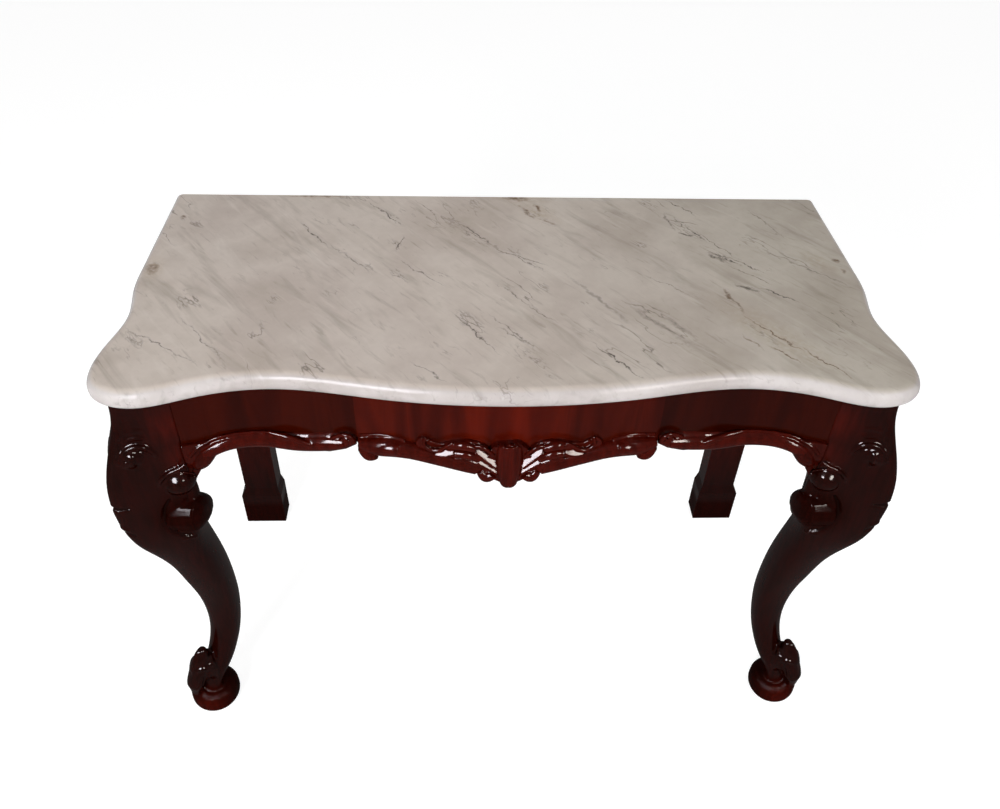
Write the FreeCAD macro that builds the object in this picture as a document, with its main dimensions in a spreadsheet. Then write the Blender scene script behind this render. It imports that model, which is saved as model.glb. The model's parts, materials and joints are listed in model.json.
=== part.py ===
import FreeCAD, Part
import math
import os
import re
import Sketcher
from FreeCAD import Placement, Rotation, Vector

# A serpentine marble-topped pier table: carved cabriole front legs, flat back legs on
# plinth blocks, a veneered frieze with applied mouldings, and a loose marble slab.
# Millimetres. X runs to the right of someone facing the table, Y to the wall, Z up.
# The origin is on the floor, in the middle of the footprint. Right-hand pieces are
# modelled and left-hand ones are their mirror images.

os.makedirs("parts", exist_ok=True)
doc = FreeCAD.newDocument("PierTable")

# ---------------------------------------------------------------- driving sizes

SIZES = [
    ("table_height", 880, "floor to the top of the marble"),
    ("ear_half", 634, "middle of the table to the widest point of a front ear"),
    ("ear_depth", 595, "back edge of the marble to the front of an ear"),
    # marble
    ("marble_thickness", 34, "slab thickness"),
    ("nosing_flat", 1, "flat left between the two rounds of the nosing"),
    ("side_step", 5, "straight sides stand this far inside the ears"),
    ("straight_back", 345, "ear front to where the straight side starts"),
    ("straight_hold", 50, "stretch that holds the side's curve straight"),
    ("side_ease", 60, "stretch where the side's curve eases into the straight"),
    ("side_ease_step", 2, "straight side outside the start of that stretch"),
    ("waist_step", 19, "hollow of the side, inside the ears"),
    ("waist_back", 205, "ear front to the hollow of the side"),
    ("ear_side_back", 68, "ear front to the widest point of the ear"),
    ("ear_front_in", 79, "ear's widest point to its foremost point, across"),
    ("ear_round_in", 16, "ear side to the outer point of the ear's round"),
    ("ear_round_back", 21, "ear front to the outer point of the ear's round"),
    ("ear_brow_in", 44, "ear side to the inner point of the ear's round"),
    ("ear_brow_back", 4, "ear front to the inner point of the ear's round"),
    ("dip_x", 369, "middle of the table to the hollow of the front"),
    ("dip_back", 43.5, "hollow of the front, behind the ear front"),
    ("bow_back", 3, "middle bow, behind the ear front"),
    ("bow_side_x", 200, "middle of the table to the flank of the bow"),
    # frieze and rails
    ("frieze_inset", 25, "frieze face behind the marble's edge"),
    ("veneer_thickness", 1.5, "sawn veneer"),
    ("rail_thickness", 28, "front and side rail cores"),
    ("rail_lip", 8, "rail's lower edge above the moulding's lower edge"),
    ("seam_x", 243, "middle of the table to the frieze's veneer seam"),
    ("moulding_gap", 2, "gap between two mouldings at the seam"),
    ("cartouche_half", 40, "half the width of the middle carving"),
    ("cartouche_relief", 20, "middle carving in front of the frieze"),
    ("leaf_relief", 12, "leaf carving in front of the frieze"),
    ("bracket_width", 40, "knee bracket, from the leg"),
    ("bracket_proud", 15, "knee bracket, in front of the frieze"),
    ("bracket_drop", 188, "knee bracket's tip below the rail top"),
    ("back_rail_height", 100, "back rail"),
    ("back_rail_thickness", 22, "back rail"),
    ("back_rail_inset", 10, "back rail's face behind the back leg's front"),
    ("bearer_x", 190, "middle of the table to a bearer's middle"),
    ("bearer_width", 45, "marble bearer"),
    ("bearer_thickness", 22, "marble bearer"),
    ("housing_depth", 8, "bearer's end let into a rail"),
    ("tenon_length", 28, "rail tenons"),
    ("tenon_thickness", 10, "rail tenons"),
    ("tenon_height", 80, "rail tenons"),
    ("tenon_drop", 12, "rail tenon's top below the rail top"),
    ("tenon_end_gap", 2, "glue space at the bottom of a mortise"),
    ("tenon_setback", 14, "front tenon's face behind the foot's axis"),
    # front legs
    ("foot_in", 40, "front foot's axis inside the ear"),
    ("foot_back", 44, "front foot's axis behind the ear front"),
    ("pad_radius", 48, "foot pad"),
    ("pad_sole", 34, "flat under the foot pad, radius"),
    ("pad_belly", 30, "height of the pad's widest line"),
    ("pad_height", 54, "foot pad"),
    ("knee_front", 50.2, "foot's axis to the foremost line of the knee"),
    ("post_inner", 79, "leg post's inner faces from the foot's axis"),
    ("ankle_height", 142, "floor to the narrowest part of the leg"),
    ("knee_drop", 206, "rail top to the middle of the knee"),
    ("volute_drop", 297, "rail top to the roll behind the knee"),
    ("volute_reach", 56, "foot's axis to the middle of the roll"),
    ("volute_radius", 27, "roll behind the knee"),
    ("volute_half", 36, "half the length of the roll"),
    ("volute_round", 15, "rounding of the roll's ends"),
    ("leaf_foot", 50, "floor to the lower end of the toe leaf"),
    ("leaf_height", 124, "toe leaf, from its lower end to its tip"),
    # back legs
    ("back_leg_out", 28, "back leg's outer face inside the ear"),
    ("back_leg_width", 78, "back leg"),
    ("back_leg_depth", 48, "back leg"),
    ("back_leg_wall_gap", 14, "back leg's back face to the marble's back edge"),
    ("plinth_height", 93, "plinth block to its upper arris"),
    ("plinth_slope", 24, "plinth block's sloping shoulder"),
    ("plinth_out", 12, "plinth block beyond the leg, outer side"),
    ("plinth_in", 6, "plinth block beyond the leg, inner side"),
    ("plinth_front", 5, "plinth block beyond the leg, front"),
    ("plinth_back", 3, "plinth block beyond the leg, back"),
    ("stub_length", 30, "leg's stub tenon in the plinth block"),
    ("stub_width", 50, "leg's stub tenon"),
    ("stub_depth", 20, "leg's stub tenon"),
    # glue blocks and screws
    ("block_width", 35, "glue blocks along a rail"),
    ("block_height", 80, "glue blocks"),
    ("block_drop", 26, "glue block's top below the rail top"),
    ("block_set", 6, "side blocks' outer face from the post's corner"),
    ("screw_shank", 4, "screw diameter"),
    ("screw_head", 8, "screw head diameter"),
    ("screw_head_depth", 3, "screw head's cone"),
    ("screw_bite", 14, "screw's length beyond the block"),
    ("screw_spacing", 40, "between the two screws of a block"),
]

# Lower and upper edge of the front mouldings below the rail top, at stations given as a
# share of each moulding's run: the inner one from the cartouche to the seam, the outer
# one from the seam to the knee bracket. The last figure is how far it stands proud.
INNER_EDGE = [
    (0.00, 164, 124, 17), (0.10, 152, 115, 18), (0.30, 141, 112, 16), (0.50, 131, 108, 13),
    (0.68, 123, 101, 12), (0.80, 122, 95, 14), (0.86, 143, 92, 16), (0.93, 146, 90, 15), (1.00, 119, 92, 9),
]
OUTER_EDGE = [
    (0.00, 119, 97, 9), (0.08, 133, 93, 14), (0.20, 144, 95, 16), (0.34, 144, 101, 15),
    (0.52, 141, 103, 13), (0.70, 131, 97, 12), (0.88, 123, 94, 13), (1.00, 129, 100, 14),
]
# The side moulding, from the knee bracket to the back leg.
SIDE_EDGE = [
    (0.00, 129, 100, 14), (0.12, 121, 94, 13), (0.30, 130, 98, 12), (0.50, 138, 103, 13),
    (0.70, 137, 101, 14), (0.86, 128, 95, 13), (1.00, 122, 92, 10),
]

# The cabriole leg's sections, from the floor up. Zone and share give the height. Then
# come the reach out and in along the leg's diagonal, the place of the side corners on
# it, half the width across it, and the power of the rounding: 2 is an ellipse, 1 a kite.
LEG_STATIONS = [
    ("foot", 0.20, 24, -38, -7, 32, 2.0),
    ("foot", 0.74, 5, -47, -21, 27, 2.0),
    ("shin", 0.00, -12, -69, -40, 28, 2.0),
    ("shin", 0.09, -26, -86, -56, 30, 1.9),
    ("shin", 0.18, -32, -96, -64, 33, 1.8),
    ("shin", 0.28, -31, -102, -66, 37, 1.7),
    ("shin", 0.38, -24, -102, -63, 42, 1.65),
    ("shin", 0.48, -12, -99, -55, 47, 1.6),
    ("shin", 0.60, 4, -91, -44, 51, 1.55),
    ("shin", 0.70, 25, -82, -36, 53, 1.5),
    ("shin", 0.78, 44, -77, -34, 56, 1.45),
    ("shin", 0.87, 57, -79, -37, 58, 1.4),
    ("shin", 1.00, 63, -85, -42, 57, 1.4),
    ("post", 0.27, 57, -110, -52, 60, 1.35),
    ("post", 0.53, 39, -118, -54, 59, 1.3),
    ("post", 0.78, 20, -118, -54, 58, 1.25),
    ("post", 1.00, 15, -118, -54, 58, 1.25),
]

# The toe leaf's sections, from its lower end to its tip: share of its height, place of its
# middle out along the diagonal, half its thickness and half its width.
TOE_STATIONS = [(0.00, 41, 10, 10), (0.20, 38, 17, 17), (0.46, 26, 20, 20), (0.74, 12, 17, 18),
                (0.92, 4, 11, 12), (1.00, 1, 5, 6)]

# Places that follow from the sizes.
PLACES = [
    ("rail_top", "table_height - marble_thickness", "rails, leg tops and marble's underside"),
    ("wall_y", "(ear_depth - foot_back + knee_front) / 2", "back edge of the marble"),
    ("foot_x", "ear_half - foot_in", "front foot's axis"),
    ("foot_y", "wall_y - ear_depth + foot_back", "front foot's axis"),
    ("post_x", "foot_x - post_inner", "front rail's shoulder"),
    ("post_y", "foot_y + post_inner", "side rail's shoulder"),
    ("bracket_x", "post_x - bracket_width", "end of the front moulding"),
    ("bracket_y", "post_y + bracket_width", "end of the side moulding"),
    ("back_leg_x", "ear_half - back_leg_out - back_leg_width", "back leg's inner face"),
    ("back_leg_y", "wall_y - back_leg_wall_gap - back_leg_depth", "back leg's front face"),
    ("plinth_top", "plinth_height + plinth_slope", "where the back leg stands"),
    ("back_rail_y", "back_leg_y + back_rail_inset", "back rail's front face"),
    ("side_face_x", "ear_half - side_step - frieze_inset", "side frieze's straight face"),
    ("side_core_x", "side_face_x - veneer_thickness", "side rail's straight face"),
    ("side_inner_x", "side_core_x - rail_thickness", "side rail's inner face"),
    ("tenon_z", "rail_top - tenon_drop - tenon_height", "rail tenon's lower edge"),
    ("front_tenon_y", "foot_y + tenon_setback", "front rail tenon's front face"),
    ("side_tenon_x", "side_core_x - (rail_thickness + tenon_thickness) / 2", "side tenon's face"),
    ("block_z", "rail_top - block_drop - block_height", "glue block's lower end"),
]


def fill_sheet(name, rows, read):
    """Writes rows of alias, text and note into a new spreadsheet."""
    table = doc.addObject("Spreadsheet::Sheet", name)
    for number, (alias, text, note) in enumerate(rows, start=1):
        table.set(f"A{number}", alias)
        table.set(f"B{number}", read(text))
        table.setAlias(f"B{number}", alias)
        table.set(f"C{number}", note)
    doc.recompute()
    return table


def edge_rows(name, stations):
    """Sheet rows for a moulding's drops and proud depths."""
    rows = []
    for number, (_, low, high, proud) in enumerate(stations):
        rows.append((f"{name}_low_{number}", low, "moulding's lower edge below the rail top"))
        rows.append((f"{name}_high_{number}", high, "moulding's upper edge below the rail top"))
        rows.append((f"{name}_proud_{number}", proud, "moulding in front of the frieze"))
    return rows


def leg_rows():
    """Sheet rows for the leg's sections."""
    rows = []
    for number, (_, _, outer, inner, side, half, _) in enumerate(LEG_STATIONS):
        rows.append((f"leg_outer_{number}", outer, "reach out along the diagonal"))
        rows.append((f"leg_inner_{number}", inner, "reach in along the diagonal"))
        rows.append((f"leg_side_{number}", side, "side corners' place on the diagonal"))
        rows.append((f"leg_half_{number}", half, "half the width across the diagonal"))
    return rows


def toe_rows():
    """Sheet rows for the toe leaf's sections."""
    rows = []
    for number, (_, reach, depth, width) in enumerate(TOE_STATIONS):
        rows.append((f"toe_reach_{number}", reach, "toe leaf's middle out along the diagonal"))
        rows.append((f"toe_depth_{number}", depth, "half the toe leaf's thickness"))
        rows.append((f"toe_width_{number}", width, "half the toe leaf's width"))
    return rows


SIZES += edge_rows("inner", INNER_EDGE) + edge_rows("outer", OUTER_EDGE) + edge_rows("flank", SIDE_EDGE)
SIZES += leg_rows() + toe_rows()
HOME = {alias: "Sizes" for alias, _, _ in SIZES}
HOME.update({alias: "Places" for alias, _, _ in PLACES})


def prefixed(text, sheets):
    """The text with each alias of those sheets written with its sheet's name."""
    def with_sheet(word):
        home = HOME.get(word[0])
        return f"{home}.{word[0]}" if home in sheets else word[0]
    return re.sub(r"[a-z]\w*", with_sheet, text)


def formula(text):
    """The text with every alias written with its sheet's name."""
    return prefixed(text, ("Sizes", "Places"))


sizes = fill_sheet("Sizes", SIZES, str)
places = fill_sheet("Places", PLACES, lambda text: "=" + prefixed(text, ("Sizes",)))


def size(alias):
    """The value of a size or place in millimetres."""
    return float(getattr(sizes if HOME[alias] == "Sizes" else places, alias))


# ---------------------------------------------------------------- helpers

NODES = []


def node(item, label):
    """Names a finished sub-part. Its label names its file."""
    item.Label = label
    NODES.append(item)
    return item


def bind(item, **formulas):
    """Ties properties of an object to the sheets."""
    for name, text in formulas.items():
        item.setExpression(name, formula(text))


def place(item, x="0", y="0", z="0"):
    """Ties an object's position to the sheets."""
    for axis, text in zip("xyz", (x, y, z)):
        item.setExpression(f"Placement.Base.{axis}", formula(text))


def box(name, x, y, z, length, width, height):
    """A block with its low corner and its sizes tied to the sheets."""
    item = doc.addObject("Part::Box", name)
    bind(item, Length=length, Width=width, Height=height)
    place(item, x, y, z)
    return item


def solid(name, shape):
    """A feature that holds a shape worked out in code."""
    item = doc.addObject("Part::Feature", name)
    item.Shape = shape
    item.Placement = Placement()
    return item


def cut(name, base, *tools):
    """Base with every tool taken away in turn."""
    for number, tool in enumerate(tools):
        item = doc.addObject("Part::Cut", f"{name}_{number}")
        item.Base = base
        item.Tool = tool
        item.Refine = True
        base = item
    return base


def common(name, base, tool):
    """What two objects share."""
    item = doc.addObject("Part::Common", name)
    item.Base = base
    item.Tool = tool
    return item


def fuse(name, *items):
    """Several objects joined into one."""
    item = doc.addObject("Part::MultiFuse", name)
    item.Shapes = list(items)
    item.Refine = True
    return item


def mirrored(item, label):
    """The left-hand twin of a right-hand sub-part."""
    twin = doc.addObject("Part::Mirroring", f"{item.Name}_twin")
    twin.Source = item
    twin.Normal = Vector(1, 0, 0)
    twin.Base = Vector(0, 0, 0)
    return node(twin, label)


def pair(item, label):
    """A right-hand sub-part and its left-hand twin."""
    node(item, f"{label}_right")
    mirrored(item, f"{label}_left")
    return item


def origin_plane(body, role):
    """A body's own origin plane."""
    return next(plane for plane in body.Origin.OriginFeatures if plane.Role == role)


def sketch_on(body, name, role, lift=None):
    """A sketch on an origin plane of its body, raised along the plane's normal."""
    sketch = body.newObject("Sketcher::SketchObject", name)
    sketch.AttachmentSupport = [(origin_plane(body, role), "")]
    sketch.MapMode = "FlatFace"
    if lift:
        sketch.setExpression("AttachmentOffset.Base.z", formula(lift))
    return sketch


def rectangle(sketch, left, low, width, height):
    """A rectangle in a sketch, its four sizes tied to the sheets."""
    corners = [Vector(0, 0), Vector(1, 0), Vector(1, 1), Vector(0, 1)]
    for number in range(4):
        sketch.addGeometry(Part.LineSegment(corners[number], corners[(number + 1) % 4]), False)
    for number in range(4):
        sketch.addConstraint(Sketcher.Constraint("Coincident", number, 2, (number + 1) % 4, 1))
    sketch.addConstraint([Sketcher.Constraint("Horizontal", 0), Sketcher.Constraint("Horizontal", 2)])
    sketch.addConstraint([Sketcher.Constraint("Vertical", 1), Sketcher.Constraint("Vertical", 3)])
    spans = [("DistanceX", (-1, 1, 0, 1), left), ("DistanceY", (-1, 1, 0, 1), low),
             ("DistanceX", (0, 1, 0, 2), width), ("DistanceY", (1, 1, 1, 2), height)]
    for kind, ends, text in spans:
        index = sketch.addConstraint(Sketcher.Constraint(kind, *ends, 1.0))
        sketch.setExpression(f"Constraints[{index}]", formula(text))


def pad(body, name, sketch, length):
    """A sketch raised into a solid."""
    feature = body.newObject("PartDesign::Pad", name)
    feature.Profile = sketch
    bind(feature, Length=length)
    return feature


# ---------------------------------------------------------------- plan curves

def front_points():
    """The marble's front, from the middle to the foremost point of the right ear."""
    front = size("wall_y") - size("ear_depth")
    dip = Vector(size("dip_x"), front + size("dip_back"))
    bow = Vector(0, front + size("bow_back"))
    ear = Vector(size("ear_half") - size("ear_front_in"), front)
    flank = Vector(size("bow_side_x"), dip.y + 0.58 * (bow.y - dip.y))
    rise = Vector(dip.x + 0.57 * (ear.x - dip.x), dip.y + 0.45 * (ear.y - dip.y))
    return [bow, flank, dip, rise, ear]


def round_points():
    """The round of the right ear."""
    front = size("wall_y") - size("ear_depth")
    return [
        Vector(size("ear_half") - size("ear_brow_in"), front + size("ear_brow_back")),
        Vector(size("ear_half") - size("ear_round_in"), front + size("ear_round_back")),
    ]


def side_points():
    """The marble's right side, from the widest point of the ear to the straight run."""
    side = size("ear_half") - size("side_step")
    front = size("wall_y") - size("ear_depth")
    straight = front + size("straight_back")
    return [
        Vector(size("ear_half"), front + size("ear_side_back")),
        Vector(size("ear_half") - size("waist_step"), front + size("waist_back")),
        Vector(side - size("side_ease_step"), straight - size("side_ease")),
        Vector(side, straight),
        Vector(side, straight + size("straight_hold")),
    ]


def mirror_x(point):
    """A point on the other side of the table."""
    return Vector(-point.x, point.y, point.z)


def both_halves(points):
    """Right-hand points from the side to the middle, then their mirror images."""
    return points[::-1] + [mirror_x(point) for point in points[1:]]


def spline(points):
    """A smooth curve through points."""
    curve = Part.BSplineCurve()
    curve.interpolate(Points=points)
    return curve


def marble_curve():
    """The marble's edge, from its back right corner round the front to its back left corner."""
    points = front_points() + round_points() + side_points()
    corner = Vector(points[-1].x, size("wall_y"), 0)
    middle = (points[-1] + corner) / 2
    return spline(both_halves(points + [middle, corner]))


def inset_points(points, inset):
    """Points of the marble's edge moved inwards, square to it."""
    curve = marble_curve()
    moved = []
    for point in points:
        along = curve.tangent(curve.parameter(point))[0]
        moved.append(point + Vector(along.y, -along.x, 0).normalize() * inset)
    return moved


def front_curve(inset):
    """The front of the frieze, ear to ear, behind the marble's edge."""
    return spline(both_halves(inset_points(front_points(), inset)))


def side_edges(inset):
    """The side of the frieze: from the ear to the straight run, and on to the wall."""
    points = inset_points(side_points(), inset)
    for point in points[-2:]:
        point.x = size("ear_half") - size("side_step") - inset
    curve = spline(points)
    wall = Vector(points[-1].x, size("wall_y"), 0)
    return [curve.toShape(), Part.makeLine(points[-1], wall)]


def between(outer, inner):
    """The face between two open chains of edges that run the same way."""
    chains = [Part.Wire(outer), Part.Wire(inner)]
    ends = [(Part.Wire(chain).OrderedVertexes[0].Point, chain.OrderedVertexes[-1].Point) for chain in chains]
    caps = [Part.makeLine(ends[0][index], ends[1][index]) for index in (0, 1)]
    return Part.Face(Part.Wire(Part.__sortEdges__(outer + inner + caps)))


def front_strip(outer, inner):
    """A full-height slab that follows the front, between two insets."""
    return raised(between([front_curve(outer).toShape()], [front_curve(inner).toShape()]))


def side_strip(outer, inner):
    """A full-height slab that follows the right side, between two insets."""
    return raised(between(side_edges(outer), side_edges(inner)))


def raised(face):
    """A face on the floor pulled up to the rail top."""
    return face.extrude(Vector(0, 0, size("rail_top")))


# ---------------------------------------------------------------- marble

def marble_top():
    """The slab: the plan outline padded, its front and side edges bullnosed."""
    body = doc.addObject("PartDesign::Body", "MarbleTop")
    sketch = sketch_on(body, "MarblePlan", "XY_Plane", "rail_top")
    curve = marble_curve()
    wall_y = size("wall_y")
    back = Part.LineSegment(curve.value(curve.LastParameter), curve.value(curve.FirstParameter))
    for run in (curve, back):
        sketch.addGeometry(run, False)
    slab = pad(body, "Slab", sketch, "marble_thickness")
    doc.recompute()
    nosed = [f"Edge{number}" for number, edge in enumerate(slab.Shape.Edges, start=1)
             if abs(edge.BoundBox.ZLength) < 0.01 and edge.BoundBox.YMin < wall_y - 1]
    nosing = body.newObject("PartDesign::Fillet", "Nosing")
    nosing.Base = (slab, nosed)
    bind(nosing, Radius="(marble_thickness - nosing_flat) / 2")
    return node(body, "marble_top")


# ---------------------------------------------------------------- lower edges

def edge_points(name, stations, start, stop, key):
    """Points of a moulding's edge, as the place along its run and the height."""
    return [(start + share * (stop - start), size("rail_top") - size(f"{name}_{key}_{number}"))
            for number, (share, *_) in enumerate(stations)]


def front_runs():
    """The two front mouldings on the right: name, stations, start and end."""
    gap = size("moulding_gap") / 2
    return [("inner", INNER_EDGE, size("cartouche_half"), size("seam_x") - gap),
            ("outer", OUTER_EDGE, size("seam_x") + gap, size("bracket_x"))]


def front_hollow():
    """What is sawn away under the front rail, right across the table."""
    lip = size("rail_lip")
    line = [Vector(0, 0, size("rail_top") - size("inner_low_0") + lip)]
    for name, stations, start, stop in front_runs():
        low_edge = edge_points(name, stations, start, stop, "low")[::2]
        line += [Vector(x, 0, height + lip) for x, height in low_edge]
    line.append(Vector(size("post_x") + 1, 0, size("rail_top") - size("bracket_drop") + 2 * lip))
    curve = spline(both_halves(line))
    low = [Vector(side * line[-1].x, 0, 0) for side in (1, -1)]
    ends = [curve.value(curve.FirstParameter), curve.value(curve.LastParameter)]
    outline = Part.makePolygon([ends[1], low[1], low[0], ends[0]])
    face = Part.Face(Part.Wire(Part.__sortEdges__([curve.toShape()] + outline.Edges)))
    return slab_along_y(face)


def slab_along_y(face):
    """A face drawn on the XZ plane pulled right through the table."""
    reach = size("ear_depth")
    return face.translated(Vector(0, -reach, 0)).extrude(Vector(0, 2 * reach, 0))


def side_hollow():
    """What is sawn away under a side rail."""
    lip = size("rail_lip")
    run = edge_points("flank", SIDE_EDGE, size("bracket_y"), size("back_leg_y"), "low")[::2]
    line = [Vector(0, size("post_y") - 1, size("rail_top") - size("bracket_drop") + 2 * lip)]
    line += [Vector(0, y, height + lip) for y, height in run]
    line[-1].y += 1
    curve = spline(line)
    outline = Part.makePolygon([line[-1], Vector(0, line[-1].y, 0), Vector(0, line[0].y, 0), line[0]])
    face = Part.Face(Part.Wire(Part.__sortEdges__([curve.toShape()] + outline.Edges)))
    return face.extrude(Vector(size("ear_half"), 0, 0))


# ---------------------------------------------------------------- joints between rails and posts

def rail_tenons():
    """Every tenon on the right, and the mortise that takes it."""
    grow = "tenon_length + tenon_end_gap"
    tenons, mortises = {}, {}
    for store, reach in ((tenons, "tenon_length"), (mortises, grow)):
        tag = "Tenon" if store is tenons else "Mortise"
        store["front"] = box(f"Front{tag}", "post_x", "front_tenon_y", "tenon_z",
                             reach, "tenon_thickness", "tenon_height")
        store["side"] = box(f"Side{tag}", "side_tenon_x", f"post_y - ({reach})", "tenon_z",
                            "tenon_thickness", reach, "tenon_height")
        store["side_back"] = box(f"SideBack{tag}", "side_tenon_x", "back_leg_y", "tenon_z",
                                 "tenon_thickness", reach, "tenon_height")
        store["back"] = box(f"Back{tag}", "back_leg_x",
                            "back_rail_y + (back_rail_thickness - tenon_thickness) / 2", "tenon_z",
                            reach, "tenon_thickness", "tenon_height")
    return tenons, mortises


def flipped(item):
    """An unnamed mirror image, for tools and joined pieces."""
    twin = doc.addObject("Part::Mirroring", f"{item.Name}_flip")
    twin.Source = item
    twin.Normal = Vector(1, 0, 0)
    twin.Base = Vector(0, 0, 0)
    return twin


# ---------------------------------------------------------------- rails, bearers and blocks

def front_zone():
    """The space between the two front posts."""
    return box("FrontZone", "-post_x", "-ear_depth", "0", "2 * post_x", "2 * ear_depth", "rail_top")


def side_zone():
    """The space between a front post and a back leg."""
    return box("SideZone", "0", "post_y", "0", "ear_half", "back_leg_y - post_y", "rail_top")


def bearer_box():
    """A bearer before its front end is fitted to the front rail."""
    return box("BearerBox", "bearer_x - bearer_width / 2", "-ear_depth", "rail_top - bearer_thickness",
               "bearer_width", "ear_depth + back_rail_y + housing_depth", "bearer_thickness")


def glue_block_boxes():
    """The right-hand glue blocks before they are fitted to the rails."""
    return {
        "front": box("FrontBlockBox", "post_x - block_width", "-ear_depth", "block_z",
                     "block_width", "ear_depth + post_y - block_set", "block_height"),
        "side": box("SideBlockBox", "post_x + block_set", "post_y", "block_z",
                    "ear_half - post_x", "block_width", "block_height"),
        "back": box("BackBlockBox", "side_inner_x - block_width", "back_leg_y - block_width", "block_z",
                    "block_width", "block_width", "block_height"),
    }


def screw_shape(start, way, grip):
    """A countersunk screw with its head's face at start, through a block of that grip."""
    head = size("screw_head") / 2
    shank = size("screw_shank") / 2
    depth = size("screw_head_depth")
    cone = Part.makeCone(head, shank, depth, start, way)
    return cone.fuse(Part.makeCylinder(shank, grip + size("screw_bite"), start, way)).removeSplitter()


def block_screws():
    """Two screws through each of the six glue blocks."""
    middle = size("block_z") + size("block_height") / 2
    half = size("screw_spacing") / 2
    side = size("post_y") + size("block_width") / 2
    back = size("back_leg_y") - size("block_width") / 2
    front_start = size("post_y") - size("block_set")
    front_x = size("post_x") - size("block_width") / 2
    inner_face = front_inner_y(front_x)
    side_start = size("post_x") + size("block_set")
    shapes = []
    for height in (middle - half, middle + half):
        shapes.append(screw_shape(Vector(front_x, front_start, height), Vector(0, -1, 0),
                                  front_start - inner_face))
        shapes.append(screw_shape(Vector(side_start, side, height), Vector(1, 0, 0),
                                  side_inner_at(side) - side_start))
        shapes.append(screw_shape(Vector(size("side_inner_x") - size("block_width"), back, height),
                                  Vector(1, 0, 0), size("block_width")))
    left = [shape.mirror(Vector(0, 0, 0), Vector(1, 0, 0)) for shape in shapes]
    return solid("BlockScrews", Part.makeCompound(shapes + left))


def crossing(edges, start, stop):
    """Where a straight line in plan meets a chain of edges."""
    line = Part.makeLine(start, stop)
    _, points, _ = Part.makeCompound(edges).distToShape(line)
    return points[0][0]


def front_inner_y(x):
    """The front rail's inner face at a place across the table."""
    inset = size("frieze_inset") + size("veneer_thickness") + size("rail_thickness")
    reach = size("ear_depth")
    return crossing([front_curve(inset).toShape()], Vector(x, -reach, 0), Vector(x, reach, 0)).y


def side_inner_at(y):
    """The side rail's inner face at a place along the side."""
    inset = size("frieze_inset") + size("veneer_thickness") + size("rail_thickness")
    return crossing(side_edges(inset), Vector(0, y, 0), Vector(2 * size("ear_half"), y, 0)).x


# ---------------------------------------------------------------- mouldings

def moulding_section(corner, across, up, proud, low, high, root):
    """A D-shaped section: flat at the back, round in front, with a root behind the face."""
    top = corner + up * high - across * MOULDING_SINK
    bottom = corner + up * low - across * MOULDING_SINK
    nose = corner + up * ((high + low) / 2) + across * proud
    back = [corner + up * low - across * root, corner + up * high - across * root]
    arc = Part.Arc(top, nose, bottom).toShape()
    rest = Part.makePolygon([bottom, back[0], back[1], top])
    return Part.Wire([arc] + rest.Edges)


def moulding(stations, name, start, stop, face_at, across, root):
    """A rib lofted through its sections along the frieze."""
    sections = []
    lows = edge_points(name, stations, start, stop, "low")
    highs = edge_points(name, stations, start, stop, "high")
    for number, ((run, low), (_, high)) in enumerate(zip(lows, highs)):
        proud = size(f"{name}_proud_{number}")
        sections.append(moulding_section(face_at(run), across, Vector(0, 0, 1), proud, low, high, root))
    return Part.makeLoft(sections, True, True)


def front_face_at(x):
    """A point on the frieze's front face, on the floor plane."""
    reach = size("ear_depth")
    return crossing([front_curve(size("frieze_inset")).toShape()], Vector(x, -reach, 0), Vector(x, reach, 0))


def side_face_at(y):
    """A point on the right side's frieze face, on the floor plane."""
    return crossing(side_edges(size("frieze_inset")), Vector(0, y, 0), Vector(2 * size("ear_half"), y, 0))


MOULDING_ROOT = 6
MOULDING_SINK = 1


def front_mouldings(frieze, cartouche):
    """The inner and outer rib on the right half of the front."""
    ribs = []
    for name, stations, start, stop in front_runs():
        shape = moulding(stations, name, start, stop, front_face_at, Vector(0, -1, 0), MOULDING_ROOT)
        ribs.append(cut(f"{name}_rib", solid(f"{name}_loft", shape), frieze, cartouche))
    return ribs


def side_moulding(frieze):
    """The rib on the right side."""
    shape = moulding(SIDE_EDGE, "flank", size("bracket_y"), size("back_leg_y"), side_face_at,
                     Vector(1, 0, 0), MOULDING_ROOT)
    return cut("flank_rib", solid("flank_loft", shape), frieze)


# ---------------------------------------------------------------- carvings and brackets

# Outlines below the rail top, for the right half: place across the table and drop.
CARTOUCHE_OUTLINE = [(0, 83), (21, 86), (31, 101), (36, 124), (46, 142), (49, 154), (41, 164), (30, 161),
                     (21, 164), (12, 169), (0, 172)]
LEAF_OUTLINE = [(36, 126), (60, 130), (92, 120), (128, 108), (148, 95), (140, 82), (116, 90), (86, 84),
                (58, 83), (36, 96)]
# The knee bracket's lower edge: share of its width from the leg, and drop above its tip.
BRACKET_EDGE = [(0.0, 0), (0.28, 13), (0.6, 39), (1.0, 59)]
BRACKET_ROOT = 28


def on_front(points):
    """Outline points turned into points on the XZ plane."""
    return [Vector(x, 0, size("rail_top") - drop) for x, drop in points]


def centre_cartouche():
    """The lobed carving in the middle of the front."""
    points = on_front(CARTOUCHE_OUTLINE)
    curve = Part.BSplineCurve()
    curve.interpolate(Points=points + [mirror_x(point) for point in points[-2:0:-1]], PeriodicFlag=True)
    prism = slab_along_y(Part.Face(Part.Wire(curve.toShape())))
    relief = size("cartouche_relief")
    return solid("Cartouche", front_strip(size("frieze_inset") - relief, size("frieze_inset")).common(prism))


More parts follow.
